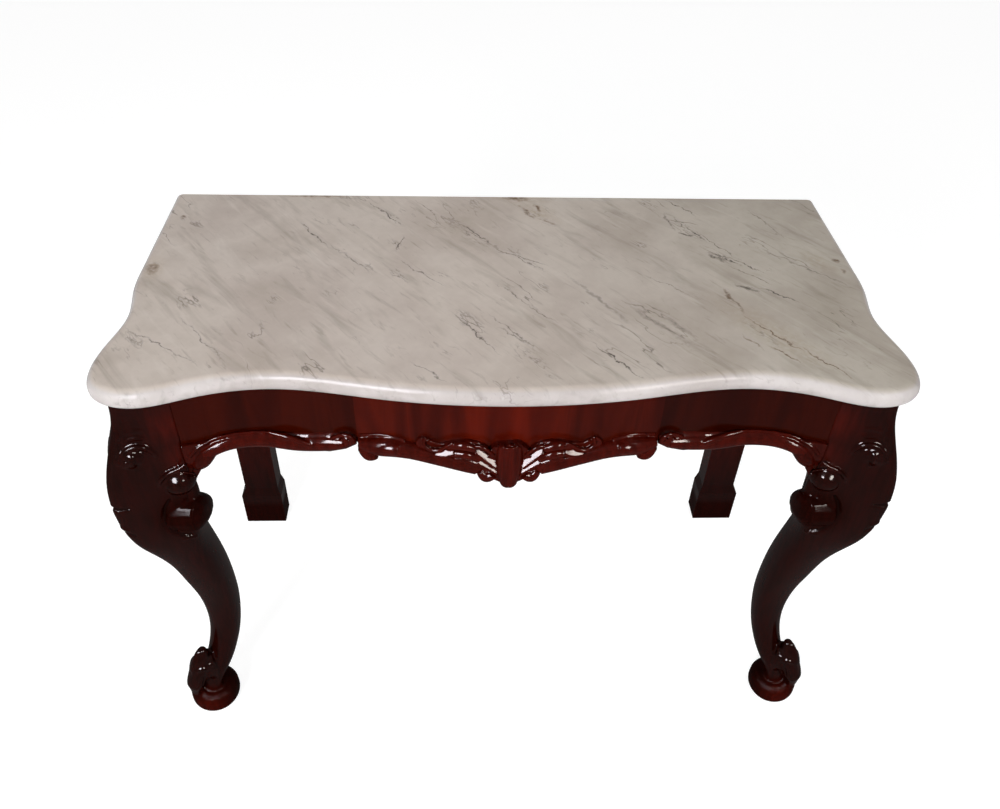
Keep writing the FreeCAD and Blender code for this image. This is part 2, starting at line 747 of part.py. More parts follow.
def leaf_carving(inner_rib, cartouche):
    """The leaf that lies on the frieze between the rib and the cartouche."""
    curve = Part.BSplineCurve()
    curve.interpolate(Points=on_front(LEAF_OUTLINE), PeriodicFlag=True)
    prism = slab_along_y(Part.Face(Part.Wire(curve.toShape())))
    relief = size("leaf_relief")
    blank = front_strip(size("frieze_inset") - relief, size("frieze_inset")).common(prism)
    return cut("LeafCarving", solid("LeafBlank", blank), inner_rib, cartouche)


def bracket_profile(along):
    """A bracket's outline as pairs of distance from the leg and height."""
    tip = size("rail_top") - size("bracket_drop")
    run = [(share * size("bracket_width"), tip + rise) for share, rise in BRACKET_EDGE]
    curve = spline([along(distance, height) for distance, height in run])
    head = size("rail_top") - size(f"outer_high_{len(OUTER_EDGE) - 1}")
    outline = Part.makePolygon([along(*run[-1]), along(run[-1][0], head), along(0, head), along(*run[0])])
    return Part.Face(Part.Wire(Part.__sortEdges__([curve.toShape()] + outline.Edges)))


def front_bracket():
    """The curl that joins the front moulding to the knee."""
    face = bracket_profile(lambda distance, height: Vector(size("post_x") - distance, 0, height))
    strip = front_strip(size("frieze_inset") - size("bracket_proud"), size("frieze_inset") + BRACKET_ROOT)
    return solid("FrontBracketBlank", strip.common(slab_along_y(face)))


def side_bracket():
    """The curl that joins the side moulding to the knee."""
    face = bracket_profile(lambda distance, height: Vector(0, size("post_y") + distance, height))
    strip = side_strip(size("frieze_inset") - size("bracket_proud"), size("frieze_inset") + BRACKET_ROOT)
    return solid("SideBracketBlank", strip.common(face.extrude(Vector(2 * size("ear_half"), 0, 0))))


# ---------------------------------------------------------------- front legs

SECTION_STEP = 30


def station_height(zone, share):
    """A section's height from its zone of the leg and its share of that zone."""
    knee = size("rail_top") - size("knee_drop")
    spans = {"foot": (0, size("ankle_height")), "shin": (size("ankle_height"), knee),
             "post": (knee, size("rail_top"))}
    low, high = spans[zone]
    return low + share * (high - low)


def leg_section(number, power):
    """A rounded kite in plan, its long axis on the leg's diagonal."""
    outer, inner, side, half = (size(f"leg_{key}_{number}") for key in ("outer", "inner", "side", "half"))
    points = []
    for angle in range(0, 360, SECTION_STEP):
        cosine = math.cos(math.radians(angle))
        sine = math.sin(math.radians(angle))
        reach = outer - side if cosine > 0 else side - inner
        along = side + math.copysign(reach * abs(cosine) ** (2 / power), cosine)
        points.append(Vector(along, math.copysign(half * abs(sine) ** (2 / power), sine), 0))
    curve = Part.BSplineCurve()
    curve.interpolate(Points=points, PeriodicFlag=True)
    return curve


def oval(middle, depth, width):
    """An ellipse by its middle and its two half sizes."""
    ends = [middle + Vector(depth, 0), middle + Vector(0, width)]
    ends.sort(key=middle.distanceToPoint, reverse=True)
    return Part.Ellipse(*ends, middle)


def toe_leaf(body):
    """The upright leaf on the front of the foot."""
    sketches = []
    for number, (share, *_) in enumerate(TOE_STATIONS):
        sketch = sketch_on(body, f"ToeSection{number}", "XY_Plane", f"leaf_foot + {share} * leaf_height")
        reach, depth, width = (size(f"toe_{key}_{number}") for key in ("reach", "depth", "width"))
        sketch.addGeometry(oval(Vector(reach, 0), depth, width), False)
        sketches.append(sketch)
    leaf = body.newObject("PartDesign::AdditiveLoft", "ToeLeaf")
    leaf.Profile = sketches[0]
    leaf.Sections = sketches[1:]


def knee_roll(body):
    """The scroll behind the knee, a short round-ended roller across the diagonal."""
    sketch = sketch_on(body, "RollProfile", "XY_Plane", "rail_top - volute_drop")
    middle, half, rounding = -size("volute_reach"), size("volute_half"), size("volute_round")
    rim = middle + size("volute_radius")
    flat = rim - rounding
    turn = rounding * math.sqrt(0.5)
    side = half - rounding
    low, high = Vector(middle, -half), Vector(middle, half)
    runs = [Part.LineSegment(high, low), Part.LineSegment(low, Vector(flat, -half)),
            Part.Arc(Vector(flat, -half), Vector(flat + turn, -side - turn), Vector(rim, -side)),
            Part.LineSegment(Vector(rim, -side), Vector(rim, side)),
            Part.Arc(Vector(rim, side), Vector(flat + turn, side + turn), Vector(flat, half)),
            Part.LineSegment(Vector(flat, half), high)]
    for run in runs:
        sketch.addGeometry(run, False)
    sketch.addGeometry(Part.LineSegment(low * 2 - high, high * 2 - low), True)
    roll = body.newObject("PartDesign::Revolution", "KneeRoll")
    roll.Profile = sketch
    roll.ReferenceAxis = (sketch, ["Axis0"])
    roll.Angle = 360


def foot_profile(sketch):
    """Half the foot pad's section."""
    sole, belly, radius = size("pad_sole"), size("pad_belly"), size("pad_radius")
    top = size("pad_height")
    bend = math.sqrt(0.5)
    heart, crown = Vector(0, 0, 0), Vector(0, top, 0)
    toe, widest = Vector(sole, 0, 0), Vector(radius, belly, 0)
    brim = Vector(sole, top, 0)
    low = Vector(sole + bend * (radius - sole), belly * (1 - bend), 0)
    high = Vector(sole + bend * (radius - sole), belly + bend * (top - belly), 0)
    runs = [Part.LineSegment(heart, toe), Part.Arc(toe, low, widest), Part.Arc(widest, high, brim),
            Part.LineSegment(brim, crown), Part.LineSegment(crown, heart)]
    for run in runs:
        sketch.addGeometry(run, False)


def leg_blank():
    """The whole leg, its own X axis on the diagonal, before its joints are cut."""
    body = doc.addObject("PartDesign::Body", "FrontLeg")
    sketches = []
    for number, (zone, share, *_, power) in enumerate(LEG_STATIONS):
        sketch = sketch_on(body, f"LegSection{number}", "XY_Plane")
        sketch.AttachmentOffset = Placement(Vector(0, 0, station_height(zone, share)), Rotation())
        sketch.addGeometry(leg_section(number, power), False)
        sketches.append(sketch)
    loft = body.newObject("PartDesign::AdditiveLoft", "Cabriole")
    loft.Profile = sketches[0]
    loft.Sections = sketches[1:]
    profile = sketch_on(body, "PadProfile", "XZ_Plane")
    foot_profile(profile)
    foot = body.newObject("PartDesign::Revolution", "FootPad")
    foot.Profile = profile
    foot.ReferenceAxis = (profile, ["V_Axis"])
    foot.Angle = 360
    toe_leaf(body)
    knee_roll(body)
    place(body, "foot_x", "foot_y", "0")
    body.Placement.Rotation = Rotation(Vector(0, 0, 1), -45)
    return body


def front_leg(mortises):
    """The leg with its rail shoulders and mortises."""
    low = "rail_top - bracket_drop"
    front = box("FrontShoulder", "post_x - ear_half", "-ear_depth", low,
                "ear_half", "2 * ear_depth", "bracket_drop")
    side = box("SideShoulder", "0", "post_y", low, "2 * ear_half", "ear_depth", "bracket_drop")
    return cut("FrontLegJointed", leg_blank(), front, side, mortises["front"], mortises["side"])


# ---------------------------------------------------------------- back legs and plinth blocks

def back_leg(mortises):
    """A flat pilaster with a stub tenon."""
    body = doc.addObject("PartDesign::Body", "BackLeg")
    shaft = sketch_on(body, "BackLegPlan", "XY_Plane", "plinth_top")
    rectangle(shaft, "back_leg_x", "back_leg_y", "back_leg_width", "back_leg_depth")
    pad(body, "BackLegShaft", shaft, "rail_top - plinth_top")
    stub = sketch_on(body, "StubPlan", "XY_Plane", "plinth_top - stub_length")
    rectangle(stub, *stub_plan())
    pad(body, "StubTenon", stub, "stub_length")
    return cut("BackLegJointed", body, mortises["side_back"], mortises["back"])


def stub_plan():
    """Low corner and sizes of the stub tenon, in plan."""
    return ("back_leg_x + (back_leg_width - stub_width) / 2",
            "back_leg_y + (back_leg_depth - stub_depth) / 2", "stub_width", "stub_depth")


def plinth_block():
    """The block under a back leg: upright sides, then a sloping shoulder up to the leg."""
    body = doc.addObject("PartDesign::Body", "PlinthBlock")
    base = ("back_leg_x - plinth_in", "back_leg_y - plinth_front", "back_leg_width + plinth_in + plinth_out",
            "back_leg_depth + plinth_front + plinth_back")
    foot = sketch_on(body, "PlinthPlan", "XY_Plane")
    rectangle(foot, *base)
    pad(body, "PlinthSides", foot, "plinth_height")
    low = sketch_on(body, "ShoulderLow", "XY_Plane", "plinth_height")
    rectangle(low, *base)
    high = sketch_on(body, "ShoulderHigh", "XY_Plane", "plinth_top")
    rectangle(high, "back_leg_x", "back_leg_y", "back_leg_width", "back_leg_depth")
    shoulder = body.newObject("PartDesign::AdditiveLoft", "Shoulder")
    shoulder.Profile = low
    shoulder.Sections = [high]
    x, y, width, depth = stub_plan()
    grow = "(stub_length + tenon_end_gap)"
    mortise = box("StubMortise", x, y, f"plinth_top - {grow}", width, depth, grow)
    return cut("PlinthBlockJointed", body, mortise)


# ---------------------------------------------------------------- assembly

def front_mass(inset):
    """Everything in front of the frieze's curve at an inset."""
    curve = front_curve(inset)
    ends = [curve.value(curve.FirstParameter), curve.value(curve.LastParameter)]
    far = -size("ear_depth")
    outline = Part.makePolygon([ends[1], Vector(ends[1].x, far, 0), Vector(ends[0].x, far, 0), ends[0]])
    return raised(Part.Face(Part.Wire(Part.__sortEdges__([curve.toShape()] + outline.Edges))))


def side_mass(inset):
    """Everything outside the right side's curve at an inset."""
    edges = side_edges(inset)
    chain = Part.Wire(edges)
    start, stop = chain.OrderedVertexes[0].Point, chain.OrderedVertexes[-1].Point
    far = 2 * size("ear_half")
    outline = Part.makePolygon([stop, Vector(far, stop.y, 0), Vector(far, start.y, 0), start])
    return raised(Part.Face(Part.Wire(Part.__sortEdges__(edges + outline.Edges))))


def build():
    """Makes every sub-part."""
    face = size("frieze_inset")
    core = face + size("veneer_thickness")
    inner = core + size("rail_thickness")
    tenons, mortises = rail_tenons()
    front_sawn = solid("FrontSawnAway", front_hollow())
    side_sawn = solid("SideSawnAway", side_hollow())
    outside_front = solid("OutsideFrontRail", front_mass(inner))
    outside_side = solid("OutsideSideRail", side_mass(inner))
    housing = solid("OutsideHousing", front_mass(inner - size("housing_depth")))
    screws = node(block_screws(), "block_screws")

    marble_top()

    bearer = cut("Bearer", bearer_box(), housing)
    left_bearer = flipped(bearer)
    pair(bearer, "top_bearer")

    front_core = common("FrontCore", solid("FrontStrip", front_strip(core, inner)), front_zone())
    shaped = cut("FrontCoreSawn", front_core, front_sawn, bearer, left_bearer)
    tenoned = fuse("FrontRailTenoned", shaped, tenons["front"], flipped(tenons["front"]))
    node(cut("FrontRail", tenoned, screws), "front_rail")

    back_board = box("BackBoard", "-back_leg_x", "back_rail_y", "rail_top - back_rail_height",
                     "2 * back_leg_x", "back_rail_thickness", "back_rail_height")
    notched = cut("BackBoardNotched", back_board, bearer, left_bearer)
    node(fuse("BackRail", notched, tenons["back"], flipped(tenons["back"])), "back_rail")

    side_core = common("SideCore", solid("SideStrip", side_strip(core, inner)), side_zone())
    side_shaped = cut("SideCoreSawn", side_core, side_sawn)
    pair(cut("SideRail", fuse("SideRailTenoned", side_shaped, tenons["side"], tenons["side_back"]), screws),
         "side_rail")

    skin = cut("FrontSkin", solid("FrontSkinStrip", front_strip(face, core)), front_sawn)
    middle = box("MiddleBay", "-seam_x", "-ear_depth", "0", "2 * seam_x", "2 * ear_depth", "rail_top")
    outer = box("OuterBay", "seam_x", "-ear_depth", "0", "post_x - seam_x", "2 * ear_depth", "rail_top")
    node(common("CentreVeneer", skin, middle), "frieze_veneer_centre")
    right_veneer = pair(common("OuterVeneer", skin, outer), "frieze_veneer")
    side_skin = cut("SideSkin", solid("SideSkinStrip", side_strip(face, core)), side_sawn)
    side_veneer = pair(common("SideVeneer", side_skin, side_zone()), "side_veneer")

    frieze_front = solid("BehindFrontFace", front_strip(face, inner))
    frieze_side = solid("BehindSideFace", side_strip(face, inner))
    cartouche = node(centre_cartouche(), "centre_cartouche")
    inner_rib, outer_rib = front_mouldings(frieze_front, cartouche)
    pair(inner_rib, "inner_moulding")
    pair(outer_rib, "outer_moulding")
    pair(side_moulding(frieze_side), "side_moulding")
    pair(leaf_carving(inner_rib, cartouche), "leaf_carving")

    leg = pair(front_leg(mortises), "front_leg")
    front_core_right = common("FrontCoreEnd", cut("FrontCoreClean", front_core, front_sawn), outer)
    pair(cut("FrontBracket", front_bracket(), leg, front_core_right, right_veneer), "front_knee_bracket")
    pair(cut("SideBracket", side_bracket(), leg, side_shaped, side_veneer), "side_knee_bracket")
    pair(back_leg(mortises), "back_leg")
    pair(plinth_block(), "back_plinth_block")

    blocks = glue_block_boxes()
    pair(cut("FrontBlock", blocks["front"], outside_front, screws), "front_glue_block")
    pair(cut("SideBlock", blocks["side"], outside_side, screws), "side_glue_block")
    pair(cut("BackBlock", blocks["back"], screws), "back_glue_block")


def check_and_write():
    """Stops on a failed object, then writes each sub-part's STEP file."""
    doc.recompute()
    for item in doc.Objects:
        if "Invalid" in item.State or "Error" in item.State:
            raise RuntimeError(f"{item.Name} failed: {item.State}")
    for item in NODES:
        if item.Shape.isNull() or not item.Shape.isValid():
            raise RuntimeError(f"{item.Label} has no valid shape")
        print(f"{item.Label:26s} solids {len(item.Shape.Solids)}  {item.Shape.Volume / 1000:9.1f} cm3")
        item.Shape.exportStep(f"parts/{item.Label}.step")


build()
check_and_write()
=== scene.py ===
"""Looks of a mahogany pier table: a veined marble slab on a carved serpentine frame.

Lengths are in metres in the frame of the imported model. Carving is laid out in millimetres.
"""

import json
import logging
import math
from dataclasses import dataclass, replace
from enum import Enum

import bpy
import numpy as np
from mathutils import Matrix, Vector
from mathutils.bvhtree import BVHTree


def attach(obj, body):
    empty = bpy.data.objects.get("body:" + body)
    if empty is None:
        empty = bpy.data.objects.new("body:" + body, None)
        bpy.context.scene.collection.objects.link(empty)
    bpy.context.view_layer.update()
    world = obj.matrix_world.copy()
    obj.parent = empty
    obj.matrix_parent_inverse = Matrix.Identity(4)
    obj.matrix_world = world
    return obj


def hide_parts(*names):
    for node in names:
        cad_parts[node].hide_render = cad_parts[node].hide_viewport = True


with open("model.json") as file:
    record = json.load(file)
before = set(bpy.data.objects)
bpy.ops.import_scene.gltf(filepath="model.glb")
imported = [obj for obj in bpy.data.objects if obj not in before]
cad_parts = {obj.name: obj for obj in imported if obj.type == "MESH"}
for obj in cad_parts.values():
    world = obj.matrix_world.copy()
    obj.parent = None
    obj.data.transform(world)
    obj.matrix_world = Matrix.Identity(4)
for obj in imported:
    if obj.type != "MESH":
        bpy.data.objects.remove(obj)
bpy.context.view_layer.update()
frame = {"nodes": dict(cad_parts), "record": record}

log = logging.getLogger("pier_table")
MM = 0.001

Point = tuple[float, float, float]
Row = tuple[float, ...]
Socket = bpy.types.NodeSocket


def linear(code: str) -> tuple[float, float, float, float]:
    """Turns an sRGB hex colour to linear.

    Args:
        code: Six hex digits.

    Returns:
        Linear red, green, blue and an alpha of 1.
    """
    parts = [int(code[i : i + 2], 16) / 255 for i in (0, 2, 4)]
    curve = [p / 12.92 if p <= 0.04045 else ((p + 0.055) / 1.055) ** 2.4 for p in parts]
    return (curve[0], curve[1], curve[2], 1.0)


@dataclass(frozen=True)
class Board:
    """A node tree, with short ways to add the nodes that the finishes are made of."""

    tree: bpy.types.NodeTree

    def feed(self, node: bpy.types.Node, sockets: dict[str | int, object]) -> None:
        """Sets or links the inputs of a node.

        Args:
            node: The node.
            sockets: Input name or number, and its constant or the socket that feeds it.
        """
        for name, value in sockets.items():
            if isinstance(value, Socket):
                self.tree.links.new(value, node.inputs[name])
            else:
                node.inputs[name].default_value = value

    def add(self, kind: str, sockets: dict[str | int, object] | None = None, **settings: object) -> bpy.types.Node:
        """Adds one shader node.

        Args:
            kind: Blender's name of the node type, after ShaderNode.
            sockets: What its inputs are fed with.
            settings: Attributes set on the node.

        Returns:
            The new node.
        """
        made = self.tree.nodes.new("ShaderNode" + kind)
        for name, value in settings.items():
            setattr(made, name, value)
        self.feed(made, sockets or {})
        return made

    def math(self, operation: str, first: Socket | float, second: Socket | float = 0.0) -> Socket:
        """Works out one value from two."""
        return self.add("Math", {0: first, 1: second}, operation=operation).outputs[0]

    def share(
        self, value: Socket, low: float, high: float, least: float = 0.0, most: float = 1.0, **settings: object
    ) -> Socket:
        """Maps a value between two bounds to a share between two others."""
        bounds = {"Value": value, "From Min": low, "From Max": high, "To Min": least, "To Max": most}
        return self.add("MapRange", bounds, **settings).outputs[0]

    def mix(self, share: Socket, under: Socket, over: Socket | Row | str, blend: str = "MIX") -> Socket:
        """Lays a colour over another by a share."""
        colours = {0: share, 6: under, 7: linear(over) if isinstance(over, str) else over}
        return self.add("Mix", colours, data_type="RGBA", blend_type=blend).outputs[2]

    def noise(
        self, place: Socket, size: float, detail: float, rough: float = 0.5, bent: float = 0.0, output: str | int = 0
    ) -> Socket:
        """Reads a noise whose blotches have one size, in millimetres."""
        kept = {"Vector": place, "Scale": 1 / (size * MM), "Detail": detail, "Roughness": rough}
        return self.add("TexNoise", {**kept, "Distortion": bent}).outputs[output]

    def stretch(self, place: Socket, scale: Row = (1, 1, 1), turn: float = 0.0, shift: Row = (0, 0, 0)) -> Socket:
        """Scales coordinates, turns them about Z and shifts them."""
        moved = {"Vector": place, "Location": shift, "Rotation": (0, 0, turn), "Scale": scale}
        return self.add("Mapping", moved).outputs[0]

    def ramp(self, value: Socket, stops: tuple[tuple[float, str], ...]) -> Socket:
        """Colours a value.

        Args:
            value: The value.
            stops: Places and hex colours.

        Returns:
            The colour.
        """
        made = self.add("ValToRGB", {0: value})
        bar = made.color_ramp.elements
        while len(bar) < len(stops):
            bar.new(0.5)
        for element, (place, colour) in zip(bar, stops):
            element.position = place
            element.color = linear(colour)
        return made.outputs[0]

    def painted(self, name: str) -> Socket:
        """Reads a number kept on the mesh."""
        return self.add("Attribute", attribute_name=name).outputs["Fac"]


def new_material(title: str) -> tuple[bpy.types.Material, Board]:
    """Makes a material without nodes.

    Args:
        title: Its name.

    Returns:
        The material and its board.
    """
    material = bpy.data.materials.new(title)
    material.use_nodes = True
    material.node_tree.nodes.clear()
    return material, Board(material.node_tree)


@dataclass(frozen=True)
class Finish:
    """A finish that every surface of one material takes."""

    title: str

    def start(self) -> tuple[bpy.types.Material, Board, bpy.types.Node, Socket]:
        """Makes an empty material.

        Returns:
            The material, its board, its surface shader and the socket of object coordinates.
        """
        material, board = new_material(self.title)
        shader = board.add("BsdfPrincipled")
        board.add("OutputMaterial", {"Surface": shader.outputs[0]})
        return material, board, shader, board.add("TexCoord").outputs["Object"]


@dataclass(frozen=True)
class Vein:
    """One vein or stain on the slab, in millimetres: its two ends, half width and strength."""

    x0: float
    y0: float
    x1: float
    y1: float
    width: float
    strength: float


def veins(*rows: Row) -> tuple[Vein, ...]:
    """Makes veins of their rows."""
    return tuple(Vein(*row) for row in rows)


@dataclass(frozen=True)
class PolishedMarble(Finish):
    """White marble, sawn, ground and polished: warm grey clouds, fine slanting veins and a few rusty stains."""

    title: str = "polished_white_marble"
    cloud_mm: float = 230.0
    streak_mm: float = 34.0
    slant_deg: float = 51.0
    crook_mm: float = 26.0
    gap_mm: float = 9.0
    mark_middle: float = 0.86
    mark_depth: float = 0.05
    grey_veins: tuple[Vein, ...] = veins(
        (321, 305, 383, 224, 1.7, 1), (312, 249, 322, 173, 2.8, 0.75), (310, 218, 374, 202, 2.4, 0.88),
        (322, 172, 364, 154, 4.8, 1), (345, 204, 380, 129, 2.8, 1), (358, 185, 429, 66, 1.5, 1),
        (367, 103, 398, 65, 6, 1), (383, 105, 426, 51, 2.8, 1), (393, 101, 469, 21, 1.7, 1),
        (390, 66, 471, -11, 1.5, 0.88), (394, -8, 440, -22, 4.8, 0.88), (425, -3, 506, -61, 2, 1),
        (478, 272, 532, 141, 1.9, 0.62), (-18, 107, 85, 47, 2, 0.88), (28, -61, 86, -123, 1.7, 0.88),
        (124, -155, 204, -269, 2, 1), (-21, -121, 38, -181, 1.9, 0.88), (229, 39, 335, -54, 1.9, 0.62),
        (183, -45, 246, -90, 2.8, 0.5), (241, -81, 306, -164, 6, 0.38), (-29, 10, 49, -80, 1.9, 0.62),
        (-38, 135, 84, 21, 1.9, 0.75), (-40, -79, 57, -207, 1.9, 0.75), (436, 151, 636, -47, 3.2, 0.5),
        (-385, 211, -307, 98, 2, 1), (-324, 132, -218, 14, 2.4, 0.62), (-262, 289, -176, 177, 1.9, 1),
        (-179, 159, -196, 88, 1.9, 1), (-196, 83, -92, -27, 1.9, 0.75), (-102, -69, -5, -217, 1.9, 0.88),
        (-163, -210, -88, -269, 1.9, 0.88), (-624, -116, -452, -238, 2, 0.75), (-539, -86, -418, -234, 2, 0.62),
        (-100, 226, 6, 89, 2, 0.88), (94, 44, 214, -138, 5.4, 0.44), (187, -47, 301, -189, 6, 0.38),
    )
    rusty_veins: tuple[Vein, ...] = veins(
        (369, -4, 396, -94, 4.8, 0.88), (383, -80, 471, -207, 2.2, 1), (454, -169, 526, -270, 2.2, 1),
        (367, -139, 404, -190, 2.8, 0.75), (404, -168, 459, -227, 2.8, 1), (597, 84, 601, 66, 7.2, 1),
        (601, 50, 604, 31, 6, 0.62), (26, 280, 70, 208, 4.8, 0.75), (67, 224, 111, 185, 4.8, 0.75),
        (65, 275, 76, 242, 7.2, 0.88), (-595, 205, -592, 222, 7.2, 1), (-610, 61, -600, 19, 14.4, 0.75),
        (-604, 34, -602, 44, 6, 1), (-2, 298, 62, 290, 10.8, 0.88), (-423, 299, -297, 297, 6, 0.75),
    )
    scribbles: tuple[Vein, ...] = veins(
        (310, 254, 374, 132, 15, 1), (357, 129, 424, 53, 15, 1), (388, 7, 440, -32, 11, 1),
        (378, -98, 438, -190, 12, 0.6), (-6, -161, 67, -260, 20, 0.6), (32, 266, 111, 181, 14, 0.6),
        (-226, 251, -182, 182, 12, 0.8), (-206, 146, -180, 98, 10, 0.7), (-203, 60, -165, -19, 14, 0.7),
        (-84, 200, -22, 109, 18, 0.8), (-92, -69, -29, -162, 20, 0.8), (-615, -134, -547, -192, 12, 0.6),
    )
    haze: tuple[Vein, ...] = veins(
        (330, -10, 520, -270, 46, 0.3), (20, 296, 120, 190, 34, 0.3), (-40, 300, 120, 285, 22, 0.35),
        (540, 120, 590, 20, 26, 0.28), (-612, 90, -596, -10, 26, 0.3), (-440, 300, -280, 294, 16, 0.3),
    )

    def marks(self, board: Board, place: Socket, drawn: tuple[Vein, ...]) -> Socket:
        """Draws long thin marks, each an ellipse that the wobble of its ground makes crooked.

        Args:
            board: Board of the marble.
            place: Coordinates, wobbling or not.
            drawn: The marks.

        Returns:
            The strength of the marks.
        """
        total: Socket | float = 0.0
        for vein in drawn:
            across, along = vein.x1 - vein.x0, vein.y1 - vein.y0
            ellipse = {
                "Vector": place,
                "Location": ((vein.x0 + vein.x1) / 2 * MM, (vein.y0 + vein.y1) / 2 * MM, self.mark_middle),
                "Rotation": (0, 0, math.atan2(along, across)),
                "Scale": (math.hypot(across, along) / 2 * MM, vein.width * MM, self.mark_depth),
            }
            local = board.add("Mapping", ellipse, vector_type="TEXTURE").outputs[0]
            far = board.add("VectorMath", {0: local}, operation="LENGTH").outputs["Value"]
            total = board.math("MAXIMUM", total, board.share(far, 1.0, 0.35, most=vein.strength))
        return total

    def crooked(self, board: Board, place: Socket) -> Socket:
        """Makes coordinates wobble.

        Args:
            board: Board of the marble.
            place: Straight coordinates.

        Returns:
            Wobbling coordinates.
        """
        wobble = board.noise(place, self.crook_mm, 4.0, 0.6, output="Color")
        middle = board.add("VectorMath", {0: wobble, 1: (0.5, 0.5, 0.5)}, operation="SUBTRACT").outputs[0]
        shift = board.add("VectorMath", {0: middle, "Scale": self.crook_mm * MM}, operation="SCALE").outputs[0]
        return board.add("VectorMath", {0: place, 1: shift}, operation="ADD").outputs[0]

    def build(self) -> bpy.types.Material:
        """Builds the material.

        Returns:
            The marble.
        """
        material, board, shader, place = self.start()
        # The bed of the stone, turned so that it runs along X and drawn out.
        turned = board.stretch(place, turn=math.radians(self.slant_deg))
        long = board.stretch(turned, (0.16, 1.0, 0.8))
        clouds = board.noise(turned, self.cloud_mm, 6.0, 0.6)
        colour = board.ramp(clouds, ((0.30, "B0A499"), (0.45, "BDB1A8"), (0.57, "C9BEB5"), (0.72, "B8ACA2")))
        # Soft broad streaks, then fine broken ones, along the bed.
        for size, low, high, strength, tint in (
            (self.streak_mm, 0.54, 0.72, 0.40, "8C8275"),
            (self.streak_mm * 0.30, 0.60, 0.74, 0.30, "7A6F61"),
            (self.streak_mm * 0.12, 0.66, 0.80, 0.22, "70665B"),
            (self.streak_mm * 0.8, 0.58, 0.76, 0.45, "D6CDC5"),
        ):
            apart = board.stretch(long, shift=(size * 9, size * 31, 0))
            streak = board.noise(apart, size, 3.0, 0.6, 0.6)
            colour = board.mix(board.share(streak, low, high, most=strength), colour, tint)
        # Hair veins that wander, where patches of the stone or the scribbles let them through.
        loose = board.stretch(turned, (0.3, 1.0, 0.8))
        scribbled = self.marks(board, place, self.scribbles)
        for size, width, strength, low, tint in (
            (64.0, 0.010, 0.7, 0.58, "6A6058"),
            (33.0, 0.013, 0.5, 0.60, "71675E"),
            (17.0, 0.034, 0.9, 2.0, "4C453F"),
        ):
            wander = board.noise(loose, size, 4.0, 0.55)
            ridge = board.math("ABSOLUTE", board.math("SUBTRACT", wander, 0.5))
            line = board.share(ridge, width, 0.0, most=strength)
            patch = board.noise(turned, size * 1.6, 2.0)
            open_here = board.math("MAXIMUM", board.share(patch, low, low + 0.12), scribbled)
            colour = board.mix(board.math("MULTIPLY", line, open_here), colour, tint)
        # Drawn veins, crooked and broken up by a fine noise.
        crooked = self.crooked(board, place)
        kept = board.share(board.noise(place, self.gap_mm, 3.0), 0.36, 0.54, 0.35, 1.0)
        for drawn, tint in ((self.haze, "A08A6C"), (self.grey_veins, "46403B"), (self.rusty_veins, "5E4226")):
            seen = board.math("MULTIPLY", self.marks(board, crooked, drawn), kept)
            colour = board.mix(seen, colour, tint)
        # The right end of the top is painted darker and greener, a painted shade where the light falls off; the
        # moulded edge is kept out of that shade and painted cooler, a painted reflection of cool light on the edge.
        x, _, z = board.add("SeparateXYZ", {0: place}).outputs
        right = board.share(x, -0.05, 0.5)
        edge = board.share(z, 0.8795, 0.876)
        painted_right_shade = board.math("MULTIPLY", right, board.math("SUBTRACT", 1.0, edge))
        # Painted shade: the right end of the top is darkened and greened.
        colour = board.mix(painted_right_shade, colour, (0.80, 0.82, 0.79, 1), "MULTIPLY")
        # Painted reflection: the moulded edge is tinted cooler.
        colour = board.mix(edge, colour, (0.91, 0.96, 1.05, 1), "MULTIPLY")
        board.feed(shader, {"Base Color": colour, "Roughness": 0.2, "IOR": 1.5, "Specular IOR Level": 0.02})
        return material


# French polish: the wood itself is dull, and only the film on it shines.
POLISHED = {"Roughness": 0.5, "IOR": 1.5, "Specular IOR Level": 0.0, "Coat IOR": 1.5}


@dataclass(frozen=True)
class FrenchPolishedMahogany(Finish):
    """Carved mahogany under dark French polish: near-black red-brown with sharp small highlights."""

    title: str = "french_polished_mahogany"
    pore_mm: float = 1.6
    streak_mm: float = 9.0
    gleam: float = 0.075
    dull_gleam: float = 0.02

    def build(self) -> bpy.types.Material:
        """Builds the material.

        Returns:
            The carved mahogany.
        """
        material, board, shader, place = self.start()
        grain = board.stretch(place, (1, 1, 0.12))
        streaks = board.noise(grain, self.streak_mm, 6.0, bent=0.3)
        colour = board.ramp(streaks, ((0.30, "150301"), (0.48, "190402"), (0.60, "1D0402"), (0.75, "160301")))
        # The carving under the frieze and the patches listed on the legs are made redder than the rest. The back legs
        # above their blocks are painted redder too, a painted light that stands in for the window light falling on
        # them.
        red = board.ramp(streaks, ((0.30, "2F0602"), (0.48, "360803"), (0.60, "3D0A04"), (0.75, "320702")))
        _, y, z = board.add("SeparateXYZ", {0: place}).outputs
        # Painted light: the back legs above their blocks are reddened by position.
        painted_back_leg_light = board.math("MULTIPLY", board.share(y, 0.16, 0.22, most=0.55), board.share(z, 0.13, 0.30))
        colour = board.mix(board.math("MAXIMUM", board.painted("rubbed"), painted_back_leg_light), colour, red)
        # Dirt and polish gather in the cuts.
        colour = board.mix(board.share(board.painted("cut_depth"), -0.1, -1.0, most=0.8), colour, "080201")
        # Brooms and shoes have scuffed the feet.
        scuffed = board.share(z, 0.08, 0.05, 0.04, 1.0)
        pores = board.noise(grain, self.pore_mm, 2.0)
        bump = board.add("Bump", {"Strength": scuffed, "Distance": MM, "Height": pores}).outputs[0]
        # The polish has sunk on the feet and on the sheltered rolls, which gleam less.
        dull = board.math("MAXIMUM", board.share(z, 0.075, 0.055), board.painted("dull"))
        gleam = board.share(dull, 0.0, 1.0, self.gleam, self.dull_gleam)
        board.feed(shader, {**POLISHED, "Base Color": colour, "Coat Normal": bump})
        board.feed(shader, {"Coat Weight": gleam, "Coat Roughness": 0.11})
        return material


